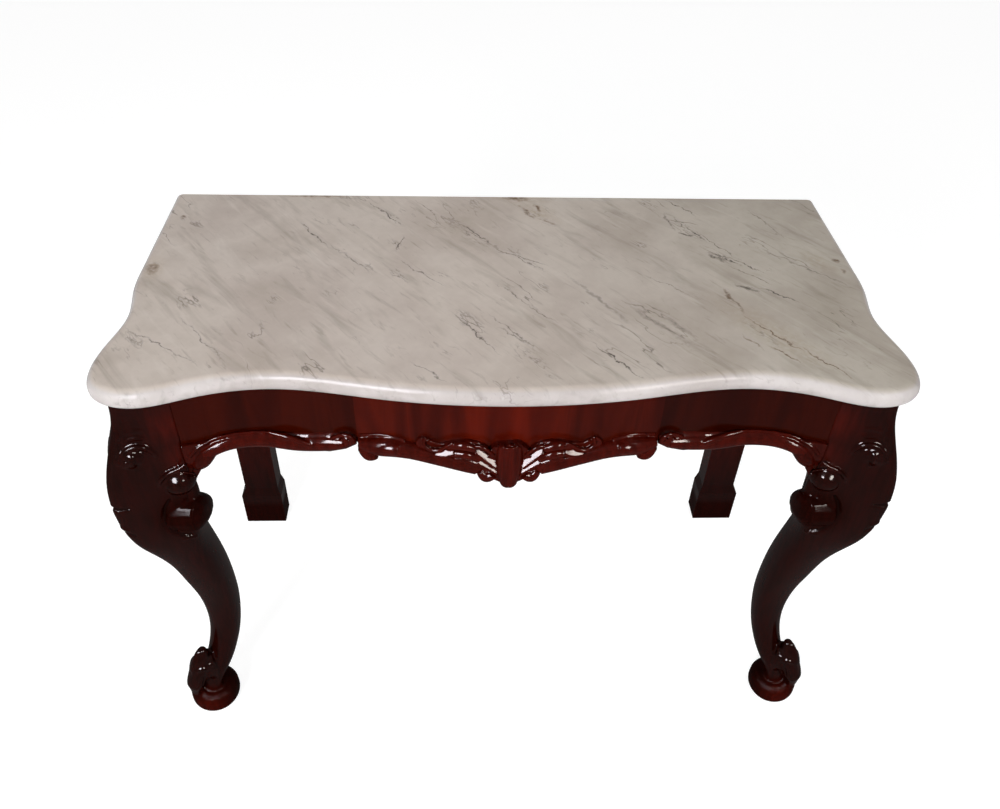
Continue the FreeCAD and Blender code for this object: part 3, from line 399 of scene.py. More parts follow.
@dataclass(frozen=True)
class FlameVeneer(Finish):
    """Mahogany crotch veneer under French polish: upright flames, glowing red where the figure lifts."""

    title: str = "flame_mahogany_veneer"
    flame_mm: float = 46.0
    sheet_mm: float = 243.0

    def build(self) -> bpy.types.Material:
        """Builds the material.

        Returns:
            The veneer.
        """
        material, board, shader, place = self.start()
        upright = board.stretch(place, (1, 0.3, 0.12))
        flames = board.noise(upright, self.flame_mm, 4.0, bent=0.8)
        outer = board.ramp(flames, ((0.28, "210401"), (0.44, "280501"), (0.58, "300701"), (0.74, "240401")))
        middle = board.ramp(flames, ((0.28, "2C0602"), (0.44, "370903"), (0.58, "430D04"), (0.74, "300702")))
        # The middle sheet is cut from a redder part of the log than the two beside it.
        x = board.add("SeparateXYZ", {0: place}).outputs[0]
        side = board.math("ABSOLUTE", x)
        sheet = board.share(side, self.sheet_mm * MM, (self.sheet_mm - 1) * MM)
        colour = board.mix(sheet, outer, middle)
        # The crotch of the figure glows in the middle of the sheet, and its right half is duller.
        heart = board.share(side, 0.12, 0.02, interpolation_type="SMOOTHSTEP")
        colour = board.mix(heart, colour, (1.5, 1.3, 1.1, 1), "MULTIPLY")
        colour = board.mix(board.share(x, 0.03, 0.12), colour, (0.76, 0.8, 0.8, 1), "MULTIPLY")
        board.feed(shader, {**POLISHED, "Base Color": colour, "Coat Weight": 0.07, "Coat Roughness": 0.16})
        return material


@dataclass(frozen=True)
class PlainTimber(Finish):
    """Sawn and planed pine left bare inside the frame: dull brown with close straight grain."""

    title: str = "bare_pine"
    ring_mm: float = 4.0

    def build(self) -> bpy.types.Material:
        """Builds the material.

        Returns:
            The bare timber.
        """
        material, board, shader, place = self.start()
        grain = board.stretch(place, (0.06, 1, 1))
        rings = board.noise(grain, self.ring_mm, 4.0)
        colour = board.ramp(rings, ((0.35, "6F5236"), (0.65, "8E6B48")))
        bump = board.add("Bump", {"Strength": 0.25, "Distance": MM, "Height": rings}).outputs[0]
        board.feed(shader, {"Base Color": colour, "Normal": bump, "Roughness": 0.75})
        return material


@dataclass(frozen=True)
class DullSteel(Finish):
    """Turned steel screws gone grey with age: soft broken reflections."""

    title: str = "aged_steel"
    stain_mm: float = 3.0

    def build(self) -> bpy.types.Material:
        """Builds the material.

        Returns:
            The steel.
        """
        material, board, shader, place = self.start()
        stain = board.noise(place, self.stain_mm, 3.0)
        colour = board.ramp(stain, ((0.3, "5A5550"), (0.7, "8C8882")))
        board.feed(shader, {"Base Color": colour, "Metallic": 1.0, "Roughness": 0.45})
        return material


@dataclass(frozen=True)
class Finishes:
    """The materials of the table, one for each slot of the record."""

    marble: bpy.types.Material
    mahogany: bpy.types.Material
    flame_veneer: bpy.types.Material
    secondary_timber: bpy.types.Material
    steel: bpy.types.Material


def dress(piece: bpy.types.Object, material: bpy.types.Material) -> None:
    """Gives a piece one material."""
    piece.data.materials.clear()
    piece.data.materials.append(material)


class LampUse(Enum):
    """What a lamp adds to the picture."""

    LIGHT = "light"
    SHINE = "shine"


@dataclass
class Studio:
    """Floor, soft lamps and camera."""

    sensor_mm: float = 36.0
    focal_px: float = 883.977
    width_px: float = 1000.0
    yaw: float = 0.0573464
    pitch: float = 0.7242170
    roll: float = -0.0367298
    eye: Point = (-0.0749668, -1.2693101, 1.7259299)
    lit_point: Point = (0.0, 0.0, 0.6)
    floor_radius: float = 30.0
    sky_light: float = 0.3
    floor_grey: float = 0.78
    shadow_grey: float = 0.36
    floor_glow: float = 0.84

    def background(self) -> None:
        """Lights the scene evenly from the sky, which is white where it is seen."""
        world = bpy.data.worlds.new("studio_sky")
        bpy.context.scene.world = world
        world.use_nodes = True
        world.node_tree.nodes.clear()
        board = Board(world.node_tree)
        lit, white = (
            board.add("Background", {"Color": (1, 1, 1, 1), "Strength": strength}).outputs[0]
            for strength in (self.sky_light, 1.0)
        )
        mixed = board.add("MixShader", {0: self.seen(board), 1: lit, 2: white})
        board.add("OutputWorld", {"Surface": mixed.outputs[0]})

    @staticmethod
    def seen(board: Board) -> Socket:
        """Finds the rays that show a surface to the eye.

        Args:
            board: Board to add to.

        Returns:
            A socket that is 1 for those rays.
        """
        ray = board.add("LightPath").outputs
        mirrored = board.math("MAXIMUM", ray["Is Camera Ray"], ray["Is Glossy Ray"])
        return board.math("MAXIMUM", mirrored, ray["Is Transmission Ray"])

    def floor(self) -> None:
        """Lays a pale floor that is white where it is seen and keeps the table's shadow."""
        bpy.ops.object.select_all(action="DESELECT")
        bpy.ops.mesh.primitive_circle_add(vertices=96, radius=self.floor_radius, fill_type="NGON")
        ground = bpy.context.object
        ground.name = "studio_floor"
        paint, board = new_material("pale_floor")
        matt, dim = (
            board.add("BsdfDiffuse", {"Color": (grey, grey, grey, 1)}).outputs[0]
            for grey in (self.floor_grey, self.shadow_grey)
        )
        glow = board.add("Emission", {"Color": (1, 1, 1, 1), "Strength": self.floor_glow}).outputs[0]
        both = board.add("AddShader", {0: dim, 1: glow}).outputs[0]
        shown = board.add("MixShader", {0: self.seen(board), 1: matt, 2: both}).outputs[0]
        board.add("OutputMaterial", {"Surface": shown})
        ground.data.materials.append(paint)

    def lamp(
        self,
        name: str,
        use: LampUse,
        place: Point,
        size: tuple[float, float],
        watts: float,
        tint: Point = (1.0, 1.0, 1.0),
    ) -> None:
        """Hangs one soft lamp that faces the table.

        Args:
            name: Name of the lamp.
            use: Whether it lights the table or only shows as a highlight on the polish.
            place: Where it hangs.
            size: Width and height of its face.
            watts: Its power.
            tint: Its colour.
        """
        bpy.ops.object.light_add(type="AREA", location=place)
        made = bpy.context.object
        made.name = name
        made.data.shape = "RECTANGLE"
        made.data.size, made.data.size_y = size
        made.data.energy = watts
        made.data.color = tint
        made.visible_camera = False
        made.visible_diffuse = use is LampUse.LIGHT
        made.visible_glossy = use is LampUse.SHINE
        aim = Vector(self.lit_point) - Vector(place)
        made.rotation_mode = "QUATERNION"
        made.rotation_quaternion = aim.to_track_quat("-Z", "Y")

    def lamps(self) -> None:
        """Hangs soft lamps in front and overhead, and the panes that gleam in the polish."""
        self.lamp("front_window", LampUse.LIGHT, (-1.5, -3.2, 2.1), (0.8, 0.8), 100)
        self.lamp("side_window", LampUse.LIGHT, (1.9, -2.6, 2.5), (1.0, 1.0), 45)
        self.lamp("overhead", LampUse.LIGHT, (0.0, 0.2, 3.4), (2.4, 1.8), 12)
        self.lamp("front_pane", LampUse.SHINE, (-1.6, -3.0, 3.1), (1.4, 1.6), 2000, (0.95, 0.94, 1.0))
        self.lamp("side_pane", LampUse.SHINE, (1.9, -2.9, 2.9), (0.9, 1.2), 700, (1.0, 0.95, 0.88))

    def camera(self) -> None:
        """Sets the camera at the eye of the front view."""
        level = math.cos(self.pitch)
        ahead = Vector((math.sin(self.yaw) * level, math.cos(self.yaw) * level, -math.sin(self.pitch)))
        right = Vector((math.cos(self.yaw), -math.sin(self.yaw), 0))
        down = ahead.cross(right)
        c, s = math.cos(self.roll), math.sin(self.roll)
        across, below = right * c + down * s, down * c - right * s
        turn = Matrix((across, -below, -ahead)).transposed().to_4x4()
        data = bpy.data.cameras.new("front_view")
        data.lens = self.focal_px / self.width_px * self.sensor_mm
        data.sensor_width = self.sensor_mm
        holder = bpy.data.objects.new("front_view", data)
        bpy.context.scene.collection.objects.link(holder)
        holder.matrix_world = Matrix.Translation(self.eye) @ turn
        bpy.context.scene.camera = holder

    def build(self) -> None:
        """Builds the whole studio."""
        self.background()
        self.floor()
        self.lamps()
        self.camera()
        bpy.context.scene.view_settings.view_transform = "Standard"


# The front left leg stands on this axis, in millimetres, and its two faces mirror each other about it.
FOOT_AXIS = (-594.0, -250.4)
# The frieze is upright, so a ray at any height inside it finds its face.
FRIEZE_Z = 0.80
# A blade comes forward by this much of what it falls.
BLADE_SLOPE = 0.92
# Cuts this deep, in millimetres, are as dark as cuts get.
DEEPEST = 6
# A stroke is at least this wide to each side, and corners this close are one, both in metres.
LEAST_WIDTH = 0.0008
WELD = 0.00002
# So many corners are measured at once, which bounds the memory that carving takes.
BATCH = 4000
# Steps in a quarter of a rib's round section.
RIB_STEPS = 5


def over_arris(row: Row) -> Row:
    """Turns a row that starts with x and y over the leg's arris."""
    x, y = FOOT_AXIS
    return (x + row[1] - y, y + row[0] - x, *row[2:])


def pick(active: bpy.types.Object, *others: bpy.types.Object) -> None:
    """Selects objects and makes the first one active."""
    bpy.ops.object.select_all(action="DESELECT")
    for each in (active, *others):
        each.select_set(True)
    bpy.context.view_layer.objects.active = active


def corners_of(mesh: bpy.types.Mesh, what: str = "co") -> np.ndarray:
    """Reads one vector of every vertex."""
    values = np.empty(len(mesh.vertices) * 3)
    mesh.vertices.foreach_get(what, values)
    return values.reshape(-1, 3)


def move_corners(mesh: bpy.types.Mesh, place: np.ndarray) -> None:
    """Moves every vertex."""
    mesh.vertices.foreach_set("co", place.ravel())
    mesh.update()


def eased(gap: np.ndarray) -> np.ndarray:
    """Eases a gap, as a share of its reach, from 1 at the middle to 0 at the reach."""
    share = np.clip(1 - gap, 0, 1)
    return share * share * (3 - 2 * share)


def nearness(place: np.ndarray, middle: Point, reach: float) -> np.ndarray:
    """Says how near vertices are to a middle, in millimetres: 1 there, 0 past the reach."""
    return eased(np.linalg.norm(place - np.array(middle) * MM, axis=1) / (reach * MM))


class Relief(Enum):
    """What a chisel stroke does to the surface."""

    RAISED = 1
    SUNK = -1


@dataclass(frozen=True)
class Stroke:
    """One pass of the carver: a line on the surface with a width and a height, in millimetres.

    A row is x, y, z and half width, for the left half of the table.
    """

    height: float
    points: tuple[Row, ...]
    relief: Relief = Relief.SUNK

    def samples(self, step: float = 1.2) -> np.ndarray:
        """Runs a smooth curve through the points.

        Args:
            step: Spacing in millimetres.

        Returns:
            Rows as in points.
        """
        knots = np.array(self.points, float)
        ends = np.vstack([2 * knots[0] - knots[1], knots, 2 * knots[-1] - knots[-2]])
        rows = []
        for a, b, c, d in zip(ends, ends[1:], ends[2:], ends[3:]):
            count = max(2, int(np.linalg.norm(c[:-1] - b[:-1]) / step))
            for t in np.linspace(0, 1, count, endpoint=False):
                bend = (2 * a - 5 * b + 4 * c - d) * t * t
                rows.append(0.5 * (2 * b + (c - a) * t + bend + (3 * b - a - 3 * c + d) * t**3))
        rows.append(knots[-1])
        return np.array(rows)

    def landed(self, skin: BVHTree, search: float = 0.05) -> np.ndarray:
        """Drops the curve onto the surface.

        Args:
            skin: The piece's surface.
            search: How far away the surface may be, in metres.

        Returns:
            Rows of x, y, z and half width in metres, for the samples that land.
        """
        found = []
        for row in self.samples() * MM:
            spot = skin.find_nearest(Vector(row[:3]), search)[0]
            if spot is not None:
                found.append((*spot, max(row[-1], LEAST_WIDTH)))
        return np.array(found)

    def turned(self) -> "Stroke":
        """Repeats the stroke on the other side of the leg's arris."""
        return replace(self, points=tuple(over_arris(row) for row in self.points))


class Seat(Enum):
    """What the rows of a rib are measured from."""

    FREE = "free"
    FRIEZE = "frieze"
    FLANK = "flank"
    SELF = "self"


@dataclass(frozen=True)
class Rib:
    """A round tapering rib, in millimetres.

    A row is x, y, z and radius. Seated on the frieze or on the piece's own front it is x, z, radius
    and how far the rib stands proud; on the flank of the table y takes the place of x. A blade is a
    rib repeated lower and further out. Turned ribs lie on the other side of a leg's arris.
    """

    rows: tuple[Row, ...]
    seat: Seat = Seat.FRIEZE
    fall: float = 0.0
    copies: int = 1
    turned: bool = False

    def blade(self) -> list["Rib"]:
        """Repeats the rib lower and further out, which makes a leaf blade that slopes forward.

        Returns:
            The ribs side by side.
        """
        step = self.fall / max(1, self.copies - 1)
        drops = [step * n for n in range(self.copies)]
        return [
            replace(self, rows=tuple((x, z - drop, r, proud + drop * BLADE_SLOPE) for x, z, r, proud in self.rows))
            for drop in drops
        ]

    def spine(self, faces: dict[Seat, BVHTree]) -> list[Row]:
        """Places the rib's middle line.

        Args:
            faces: The surfaces that ribs are seated on.

        Returns:
            Rows of x, y, z and radius.
        """
        placed = []
        for row in self.rows:
            if self.seat is Seat.FREE:
                placed.append(over_arris(row) if self.turned else row)
                continue
            across, z, radius, proud = row
            height = z * MM if self.seat is Seat.SELF else FRIEZE_Z
            if self.seat is Seat.FLANK or self.turned:
                along = FOOT_AXIS[1] + across - FOOT_AXIS[0] if self.turned else across
                back = faces[self.seat].ray_cast(Vector((-1, along * MM, height)), Vector((1, 0, 0)))[0]
                placed.append((back.x / MM - proud + radius, along, z, radius))
            else:
                back = faces[self.seat].ray_cast(Vector((across * MM, -1, height)), Vector((0, 1, 0)))[0]
                placed.append((across, back.y / MM - proud + radius, z, radius))
        return placed


def face_of(*names: str) -> BVHTree:
    """Makes one searchable surface of several nodes.

    Args:
        names: The nodes.

    Returns:
        Their surfaces, as one tree.
    """
    corners: list[Vector] = []
    faces: list[tuple[int, ...]] = []
    for name in names:
        mesh = frame["nodes"][name].data
        first = len(corners)
        corners += [v.co.copy() for v in mesh.vertices]
        faces += [tuple(first + i for i in face.vertices) for face in mesh.polygons]
    return BVHTree.FromPolygons(corners, faces)


@dataclass(frozen=True)
class Pull:
    """A pull on the wood round a place, in millimetres: middle, reach and how far it moves."""

    middle: Point
    reach: float
    shift: Point


@dataclass(frozen=True)
class PolishPatch:
    """A patch of the polish, in millimetres, that is made redder or gleams less: middle, reach and how strongly."""

    middle: Point
    reach: float
    amount: float


@dataclass
class CarvedPiece:
    """A carved piece: the sawn blank of one node, with ribs added, rounded over and cut with strokes."""

    node: str
    grain: float
    material: bpy.types.Material
    strokes: tuple[Stroke, ...] = ()
    ribs: tuple[Rib, ...] = ()
    pulls: tuple[Pull, ...] = ()
    melt: int = 4
    set_back: float = 0.0
    rubbed: float = 0.0
    rubs: tuple[PolishPatch, ...] = ()
    dulls: tuple[PolishPatch, ...] = ()

    def blank(self) -> bpy.types.Object:
        """Copies the node's solid and closes it.

        Returns:
            The blank.
        """
        source = frame["nodes"][self.node]
        piece = source.copy()
        piece.data = source.data.copy()
        piece.parent = None
        for key in list(piece.keys()):
            del piece[key]
        piece.name = self.node + "_carved"
        bpy.context.scene.collection.objects.link(piece)
        pick(piece)
        bpy.ops.object.mode_set(mode="EDIT")
        bpy.ops.mesh.select_all(action="SELECT")
        bpy.ops.mesh.remove_doubles(threshold=WELD)
        bpy.ops.transform.translate(value=(0, self.set_back * MM, 0))
        bpy.ops.object.mode_set(mode="OBJECT")
        return piece

    def even_skin(self, piece: bpy.types.Object) -> None:
        """Gives the piece an even skin of small faces."""
        even = piece.modifiers.new("even_skin", "REMESH")
        even.mode = "VOXEL"
        even.voxel_size = self.grain * MM
        bpy.ops.object.modifier_apply(modifier=even.name)

    def shape(self, piece: bpy.types.Object) -> None:
        """Pulls parts of the blank into place.

        Args:
            piece: The blank.
        """
        if not self.pulls:
            return
        self.even_skin(piece)
        place = corners_of(piece.data)
        for pull in self.pulls:
            place += nearness(place, pull.middle, pull.reach)[:, None] * np.array(pull.shift) * MM
        move_corners(piece.data, place)

    def add_ribs(self, piece: bpy.types.Object) -> None:
        """Joins round tapering ribs to the blank.

        Args:
            piece: The blank.
        """
        faces = {
            Seat.FRIEZE: face_of("frieze_veneer_left", "frieze_veneer_centre", "frieze_veneer_right"),
            Seat.FLANK: face_of("side_veneer_left"),
            Seat.SELF: BVHTree.FromObject(piece, bpy.context.evaluated_depsgraph_get()),
        }
        shapes = [part for rib in self.ribs for part in (rib.blade() if rib.copies > 1 else [rib])]
        for number, shape in enumerate(shapes):
            rows = shape.spine(faces)
            line = bpy.data.curves.new(f"{self.node}_rib_{number}", "CURVE")
            line.dimensions = "3D"
            line.bevel_depth = MM
            line.bevel_resolution = RIB_STEPS
            line.use_fill_caps = True
            spline = line.splines.new("NURBS")
            spline.points.add(len(rows) - 1)
            for point, row in zip(spline.points, rows):
                point.co = (row[0] * MM, row[1] * MM, row[2] * MM, 1)
                point.radius = row[3]
            spline.order_u = min(3, len(rows))
            spline.use_endpoint_u = True
            rib = bpy.data.objects.new(line.name, line)
            bpy.context.scene.collection.objects.link(rib)
            pick(rib)
            bpy.ops.object.convert(target="MESH")
            pick(piece, rib)
            bpy.ops.object.join()

    def soften(self, piece: bpy.types.Object) -> None:
        """Rounds the edges over."""
        soft = piece.modifiers.new("rounded_over", "SMOOTH")
        soft.factor = 0.5
        soft.iterations = self.melt
        bpy.ops.object.modifier_apply(modifier=soft.name)

    def carve(self, piece: bpy.types.Object) -> None:
        """Moves the skin along its normals under each stroke and keeps the depth for the finish.

        Args:
            piece: The piece with its skin.
        """
        mesh = piece.data
        place, normal = corners_of(mesh), corners_of(mesh, "normal")
        skin = BVHTree.FromObject(piece, bpy.context.evaluated_depsgraph_get())
        heights = {relief: np.zeros(len(place)) for relief in Relief}
        for stroke in self.strokes:
            near = stroke.landed(skin)
            if not len(near):
                continue
            reach = near[:, 3].max()
            low, high = near[:, :3].min(0) - reach, near[:, :3].max(0) + reach
            inside = np.flatnonzero(((place > low) & (place < high)).all(1))
            kept = heights[stroke.relief]
            for first in range(0, len(inside), BATCH):
                part = inside[first : first + BATCH]
                gap = np.linalg.norm(place[part, None] - near[None, :, :3], axis=2) / near[None, :, 3]
                kept[part] = np.maximum(kept[part], eased(gap.min(1)) * stroke.height)
        depth = heights[Relief.RAISED] - heights[Relief.SUNK]
        place += normal * (depth * MM)[:, None]
        move_corners(mesh, place)
        patch_shares = {"rubbed": np.full(len(place), self.rubbed), "dull": np.zeros(len(place))}
        for name, places in (("rubbed", self.rubs), ("dull", self.dulls)):
            for polish_patch in places:
                share = np.minimum(nearness(place, polish_patch.middle, polish_patch.reach) * polish_patch.amount, 1)
                patch_shares[name] = np.maximum(patch_shares[name], share)
        for name, values in (("cut_depth", np.clip(depth / DEEPEST, -1, 1)), *patch_shares.items()):
            kept = mesh.attributes.new(name, "FLOAT", "POINT")
            kept.data.foreach_set("value", values)

    def finish(self, piece: bpy.types.Object, node: str) -> bpy.types.Object:
        """Polishes the piece and puts it on the frame in place of a node.

        Args:
            piece: The carved piece.
            node: The node it stands for.

        Returns:
            The piece.
        """
        pick(piece)
        bpy.ops.object.shade_smooth()
        dress(piece, self.material)
        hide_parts(node)
        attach(piece, "table_frame")
        log.info("%s: %d faces", piece.name, len(piece.data.polygons))
        return piece

    def build(self) -> list[bpy.types.Object]:
        """Makes the piece, and its twin on the right where it is on the left.

        Returns:
            The finished pieces.
        """
        piece = self.blank()
        self.shape(piece)
        self.add_ribs(piece)
        self.even_skin(piece)
        self.soften(piece)
        self.carve(piece)
        made = [self.finish(piece, self.node)]
        if self.node.endswith("_left"):
            node = self.node.replace("_left", "_right")
            twin = bpy.data.objects.new(node + "_carved", piece.data.copy())
            bpy.context.scene.collection.objects.link(twin)
            twin.data.transform(Matrix.Scale(-1, 4, (1, 0, 0)))
            twin.data.flip_normals()
            made.append(self.finish(twin, node))
        return made


@dataclass
class Carcase:
    """Plain parts of the frame, which keep their own meshes."""

    finishes: Finishes

    def build(self) -> None:
        """Dresses each node with the finish of its slot."""
        slots = {part["node"]: part["material_slot"] for part in frame["record"]["subparts"]}
        for name, piece in frame["nodes"].items():
            dress(piece, getattr(self.finishes, slots[name]))


@dataclass
class Legs:
    """Carved cabriole legs: leaf and boss on the knee, scroll at its side, upturned leaf on the toe."""

    material: bpy.types.Material
    grain: float = 2.05
    # What is cut into the front half of the leg.
    cuts: tuple[Stroke, ...] = (
        # Hollow between the brow and the boss, and the slit in the boss.
        Stroke(2.6, ((-605, -286, 737, 2.2), (-596, -285, 749, 3), (-580, -282, 752, 3), (-565, -277, 744, 2.2))),
        Stroke(2.5, ((-597, -286, 738, 1.8), (-589, -286, 737, 2.2))),
        # Leaf tips that end in a step on the arris.
        Stroke(4.4, ((-638, -302, 643, 7), (-627, -300, 640, 6), (-611, -296, 638, 3))),
        Stroke(2.0, ((-633, -299, 595, 8), (-624, -297, 589, 6)), Relief.RAISED),
        Stroke(2.8, ((-632, -298, 580, 6), (-619, -296, 572, 4))),
        # Groove between the leg's face and the roll, and the lip under it.
        Stroke(5.0, ((-552, -276, 640, 4), (-562, -281, 622, 6), (-566, -283, 598, 6.5), (-562, -283, 574, 6),
            (-550, -279, 555, 5), (-536, -272, 547, 4))),
        Stroke(2.6, ((-548, -278, 541, 3), (-540, -275, 541, 3.4), (-530, -266, 537, 3)), Relief.RAISED),
        # Folds of the toe's leaf.
        Stroke(2.0, ((-612, -290, 92, 3), (-605, -288, 104, 3.6), (-601, -285, 116, 2.5))),
        Stroke(2.0, ((-596, -288, 92, 3), (-593, -285, 104, 3.6), (-593, -281, 114, 2.5))),
    )
    # Round forms that sit on the front half's face, and round forms that stand by themselves.
    seated: tuple[tuple[Row, ...], ...] = (
        # Boss below the leaf, and the brow that curls over it.
        ((-609, 724, 9, 2), (-601, 728, 18, 6.5), (-590, 731, 24, 10.5), (-579, 729, 18, 6.5), (-571, 726, 9, 2)),
        ((-608, 731, 2.5, 3), (-602, 745, 3.6, 5.5), (-590, 757, 4.2, 6.5), (-573, 759, 4.2, 6.5),
            (-559, 751, 3.6, 5.5), (-552, 735, 2, 2.5)),
        # Fine arcs and fanned ribs above the brow.
        ((-591, 770, 2.4, 2.2), (-579, 774, 2.8, 2.8), (-564, 770, 2.4, 1.8)),
        ((-588, 783, 2.4, 1.8), (-577, 787, 2.6, 2.4), (-564, 784, 2.2, 1.4)),
        ((-606, 748, 3, 2.4), (-603, 766, 3.2, 3), (-600, 788, 2, 1.2)),
        ((-597, 764, 2.6, 2), (-593, 785, 3, 2.6), (-589, 810, 2, 1)),
    )
    free: tuple[tuple[Row, ...], ...] = (
        # Cabochon at the side of the knee with its two rims.
        ((-559, -264, 656, 8), (-550, -263, 660, 19), (-538, -260, 667, 25), (-526, -254, 668, 25),
            (-516, -250, 668, 18), (-510, -248, 668, 8)),
        ((-527, -245, 662, 8), (-526, -247, 652, 15), (-526, -250, 625, 15)),
        ((-563, -276, 662, 1.8), (-561, -279, 678, 2.8), (-550, -279, 694, 3.2), (-538, -276, 702, 3.2),
            (-523, -271, 705.5, 3), (-514, -267, 712, 2.4)),
        ((-541, -276, 695, 1.5), (-528, -274, 700, 2.2), (-515, -268, 695, 2.4), (-507, -261, 685, 2.2),
            (-504, -258, 672, 1.5)),
        # Roll below the cabochon, with its rounded end.
        ((-561, -256, 592, 20), (-560, -257, 592, 31), (-557, -258, 592, 33.5), (-540, -258, 593, 33.5),
            (-522, -258.5, 593, 33.5), (-512, -260, 593, 32), (-507, -262, 593, 26), (-504, -263, 593, 16)),
        # Toe: ball, collar of the leaf and the leaf's folds.
        ((-616, -262, 104, 16), (-606, -262, 106, 19), (-592, -257, 108, 18)),
        ((-623, -276, 108, 2.5), (-619, -279, 119, 3.6), (-611, -278, 131, 3.9), (-603, -277.5, 137, 4),
            (-595, -276, 138.5, 4), (-588, -272, 137, 3.6), (-585, -264, 130, 3)),
        ((-602, -262, 124, 15), (-601, -260, 138, 12), (-599, -256, 150, 8)),
        ((-594, -252, 124, 18), (-593, -250, 140, 15), (-592, -248, 152, 13)),
        # Wood between the leaf and the leg.
        ((-590, -258, 140, 12), (-586, -256, 125, 15), (-584, -254, 105, 16), (-584, -252, 85, 16)),
    )
    # Ridge of the toe's leaf, which runs up the arris.
    ridge: tuple[Row, ...] = ((-612, -268, 128, 13), (-609, -265, 150, 10), (-602, -255, 170, 4))
    toe_pull: Pull = Pull((-626, -282, 66), 34, (5, 5, 16))
    # Patches where the legs are made redder: at the top by the frieze and on the feet.
    rubs: tuple[PolishPatch, ...] = (
        PolishPatch((-505, -270, 790), 75, 1.0), PolishPatch((-505, -270, 730), 60, 0.8), PolishPatch((-594, -296, 30), 62, 0.9),
        PolishPatch((-640, -250, 30), 62, 0.6),
    )
    dulls: tuple[PolishPatch, ...] = (PolishPatch((-530, -290, 600), 75, 1.6),)

    def build(self) -> None:
        """Carves both legs."""
        strokes = (*self.cuts, *(stroke.turned() for stroke in self.cuts))
        ribs = [Rib(rows, Seat.SELF) for rows in self.seated] + [Rib(rows, Seat.FREE) for rows in self.free]
        ribs += [replace(rib, turned=True) for rib in ribs]
        ribs.append(Rib(self.ridge, Seat.FREE))
        CarvedPiece(
            "front_leg_left",
            self.grain,
            self.material,
            strokes,
            tuple(ribs),
            pulls=(self.toe_pull,),
            melt=3,
            rubs=self.rubs,
            dulls=self.dulls,
        ).build()


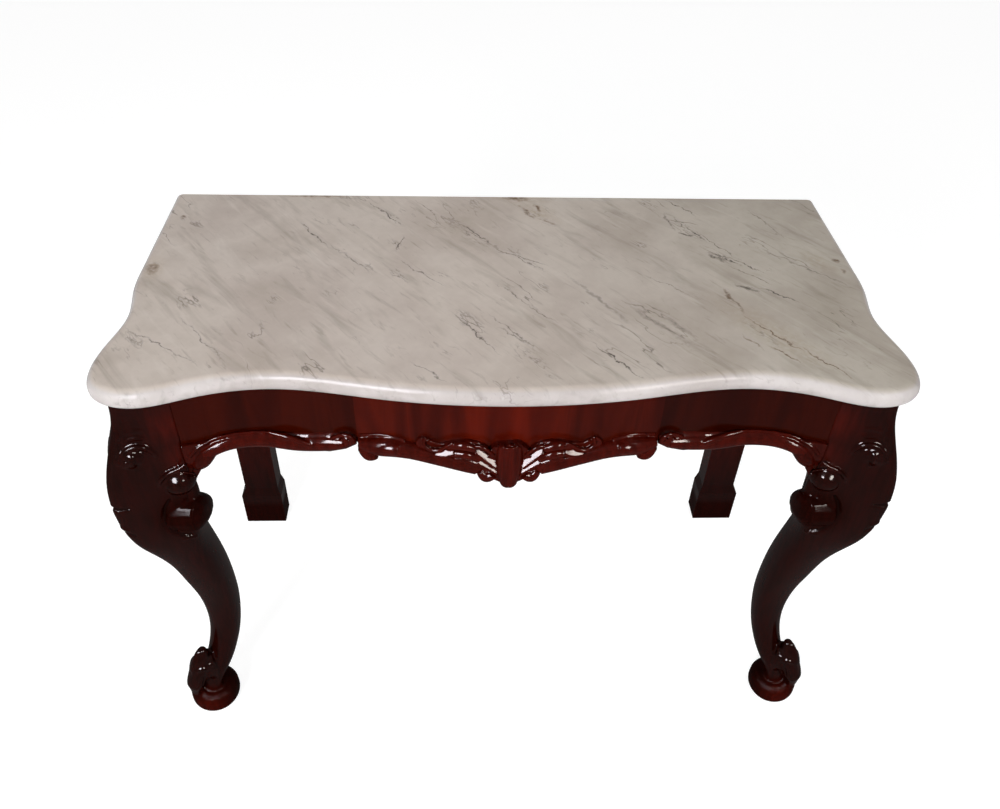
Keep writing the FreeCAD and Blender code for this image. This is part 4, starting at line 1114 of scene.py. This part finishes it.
@dataclass
class Apron:
    """Carving under the frieze: ribs, leaves, cartouche and knee brackets."""

    material: bpy.types.Material
    grain: float = 1.2
    fine_grain: float = 0.9
    # The rib from the knee to the veneer seam.
    outer_rib: tuple[Rib, ...] = (
        # The swelling body of the rib.
        Rib(((-486, 720, 12, 15), (-470, 729, 13, 16), (-450, 734.5, 14, 15), (-425, 735, 15, 13),
            (-390, 731, 17, 12), (-364, 724.5, 18, 13), (-340, 721, 17, 14), (-316, 723, 16, 15), (-294, 727, 16, 16),
            (-276, 730, 13, 15), (-262, 733, 9, 13))),
        # Its thin upper rim.
        Rib(((-484, 741, 2.2, 7), (-468, 748, 2.8, 7), (-455, 750.5, 2.8, 7), (-428, 751.5, 2.4, 6),
            (-395, 750, 2.4, 6), (-376, 747, 2.6, 8))),
        # The ridge that twists down across the body.
        Rib(((-382, 747, 3, 8), (-362, 744, 5, 14), (-344, 738.5, 5.5, 17), (-328, 732, 5, 17), (-312, 725, 4, 15))),
        # Rolled end round the dark eye, with its beads.
        Rib(((-283, 744, 3, 12), (-272, 752, 3.6, 12), (-258, 755, 3.8, 12), (-248, 749, 3.8, 12),
            (-247, 738, 4.4, 12))),
        Rib(((-268, 745, 3.4, 12), (-267, 744, 3.4, 12))),
        Rib(((-257, 745, 3.4, 12), (-256, 744, 3.4, 12))),
    )
    # The rib from its scrolled end to the cartouche.
    inner_rib: tuple[Rib, ...] = (
        Rib(((-240, 739, 8, 12), (-226, 736, 14, 17), (-208, 736, 18, 20), (-190, 738, 19, 20), (-172, 736, 17, 18),
            (-150, 732, 16, 16), (-122, 724, 15, 15), (-95, 717, 15, 15), (-70, 709, 14, 15), (-50, 702, 12, 14))),
        Rib(((-201, 739, 11, 20), (-188, 741, 13, 23), (-175, 740, 11, 20))),
        Rib(((-236, 732, 7, 15), (-230, 720, 10, 17), (-221, 714.5, 10.5, 17), (-213, 719, 8, 15))),
        Rib(((-238, 752, 2.4, 3), (-215, 757, 3, 3), (-190, 758, 3, 3), (-165, 753, 2.6, 3))),
    )
    # The small leaf and scroll beside the cartouche.
    leaf: tuple[Rib, ...] = (
        Rib(((-132, 768, 2, 8), (-137, 758, 3, 12), (-131, 748, 3.4, 14), (-120, 744.5, 3.6, 15),
            (-108, 748, 3.4, 15), (-98, 757, 3, 14), (-89, 762, 2.4, 12))),
        Rib(((-127, 762, 3.4, 10), (-126, 761, 3.4, 10))),
        # Its scooped lip.
        Rib(((-118, 745, 2.5, 11), (-108, 744, 3, 13), (-96, 746, 3, 13), (-88, 750, 2.5, 12)), fall=6, copies=4),
        # Two lobes of the leaf.
        Rib(((-98, 750, 5, 12), (-84, 757, 8, 16), (-68, 758, 8, 18), (-54, 751, 6, 16))),
        Rib(((-94, 738, 6, 13), (-76, 741, 8, 18), (-60, 737, 8, 18), (-46, 728, 5, 15))),
        Rib(((-88, 728, 4, 12), (-70, 727, 5, 16), (-50, 719, 4, 14))),
    )
    # The left half of the cartouche.
    cartouche: tuple[Rib, ...] = (
        # Two blades that fall towards the lappet, and the thin rim over them.
        Rib(((-56, 757, 2.4, 12), (-46, 759, 2.8, 14), (-35, 753, 2.8, 16), (-25, 741, 2.6, 16))),
        Rib(((-54, 748, 2.8, 4.4), (-46, 742.5, 3.6, 6.7), (-37, 736.4, 3.6, 9.3), (-28, 730.3, 3.6, 11.9),
            (-21, 725.5, 3, 13.9)), fall=8, copies=10),
        Rib(((-51, 727.3, 2.6, 9.2), (-42, 722.1, 3, 10.8), (-32, 716.4, 3, 12.6), (-24, 711.9, 2.8, 14.1),
            (-20, 709.6, 2.6, 14.8)), fall=5.5, copies=7),
        # Scroll at the foot.
        Rib(((-46, 702, 7, 15), (-41, 693, 10, 19), (-33, 690, 11, 21), (-25, 697, 8, 19))),
        # Half of the lappet, its round foot and the beads over it.
        Rib(((-13, 760, 5, 16), (-13, 744, 8, 19), (-12.5, 715, 9, 21), (-9, 696, 9, 21))),
        Rib(((-3, 761, 7, 18), (-3, 744, 10, 22), (-3, 712, 12.5, 24), (-2, 688, 13, 25), (-2, 682, 13, 25),
            (-2, 675, 10, 22), (-2, 671, 4, 16))),
        Rib(((-21, 762, 3.6, 16), (-20, 761, 3.6, 16))),
        Rib(((-12, 764, 4, 18), (-11, 763, 4, 18))),
        Rib(((-2.5, 766, 4.4, 19), (-2, 765, 4.4, 19))),
    )
    # The wing beside the knee.
    bracket: tuple[Rib, ...] = (
        Rib(((-503, -253, 696, 10), (-494, -252, 704, 15), (-485, -250, 715, 14.5), (-476, -246, 725, 13),
            (-467, -243, 731, 13)), Seat.FREE),
        Rib(((-507, -262, 722, 2.6), (-499, -261, 733, 3), (-488, -257, 741, 3), (-474, -250, 746, 3)), Seat.FREE),
    )
    # The rib under the side frieze.
    side: tuple[Rib, ...] = (
        Rib(((-130, 733, 11, 14), (-105, 733, 12, 15), (-60, 729, 13, 15), (-10, 723, 14, 16), (50, 719, 15, 16),
            (90, 720, 15, 16), (150, 727, 14, 15), (200, 734, 12, 14), (236, 738, 10, 12)), Seat.FLANK),
        Rib(((-128, 750, 2.4, 6), (-60, 747, 2.8, 7), (40, 740, 2.8, 7), (130, 744, 2.6, 6)), Seat.FLANK),
    )
    # The front bracket is cut back where it meets the leg's cabochon.
    pull: Pull = Pull((-505, -262, 675), 42, (0, 12, 0))

    def build(self) -> None:
        """Carves the pieces of the apron."""
        coarse, fine = (self.grain, self.material), (self.fine_grain, self.material)
        half = self.cartouche
        whole = (*half, *(replace(rib, rows=tuple((-r[0], *r[1:]) for r in rib.rows)) for rib in half))
        turned = tuple(replace(rib, turned=True) for rib in self.bracket)
        for piece in (
            CarvedPiece("outer_moulding_left", *coarse, ribs=self.outer_rib, set_back=5, melt=8, rubbed=1.0),
            CarvedPiece("inner_moulding_left", *coarse, ribs=self.inner_rib, set_back=5, melt=7, rubbed=1.0),
            CarvedPiece("leaf_carving_left", *fine, ribs=self.leaf, set_back=6, melt=5, rubbed=1.0),
            CarvedPiece("centre_cartouche", *fine, ribs=whole, set_back=9, melt=6, rubbed=1.0),
            CarvedPiece(
                "front_knee_bracket_left", *coarse, ribs=self.bracket, pulls=(self.pull,), set_back=8, rubbed=0.6
            ),
            CarvedPiece("side_knee_bracket_left", *coarse, ribs=turned, rubbed=0.6),
            CarvedPiece("side_moulding_left", *coarse, ribs=self.side, melt=6, rubbed=0.8),
        ):
            piece.build()


def main() -> None:
    """Builds the table's looks in order and reports each piece."""
    logging.basicConfig(level=logging.INFO, format="%(message)s")
    finishes = Finishes(
        marble=PolishedMarble().build(),
        mahogany=FrenchPolishedMahogany().build(),
        flame_veneer=FlameVeneer().build(),
        secondary_timber=PlainTimber().build(),
        steel=DullSteel().build(),
    )
    Carcase(finishes).build()
    log.info("dressed %d nodes", len(frame["nodes"]))
    Legs(finishes.mahogany).build()
    Apron(finishes.mahogany).build()
    Studio().build()


if __name__ == "__main__":
    main()
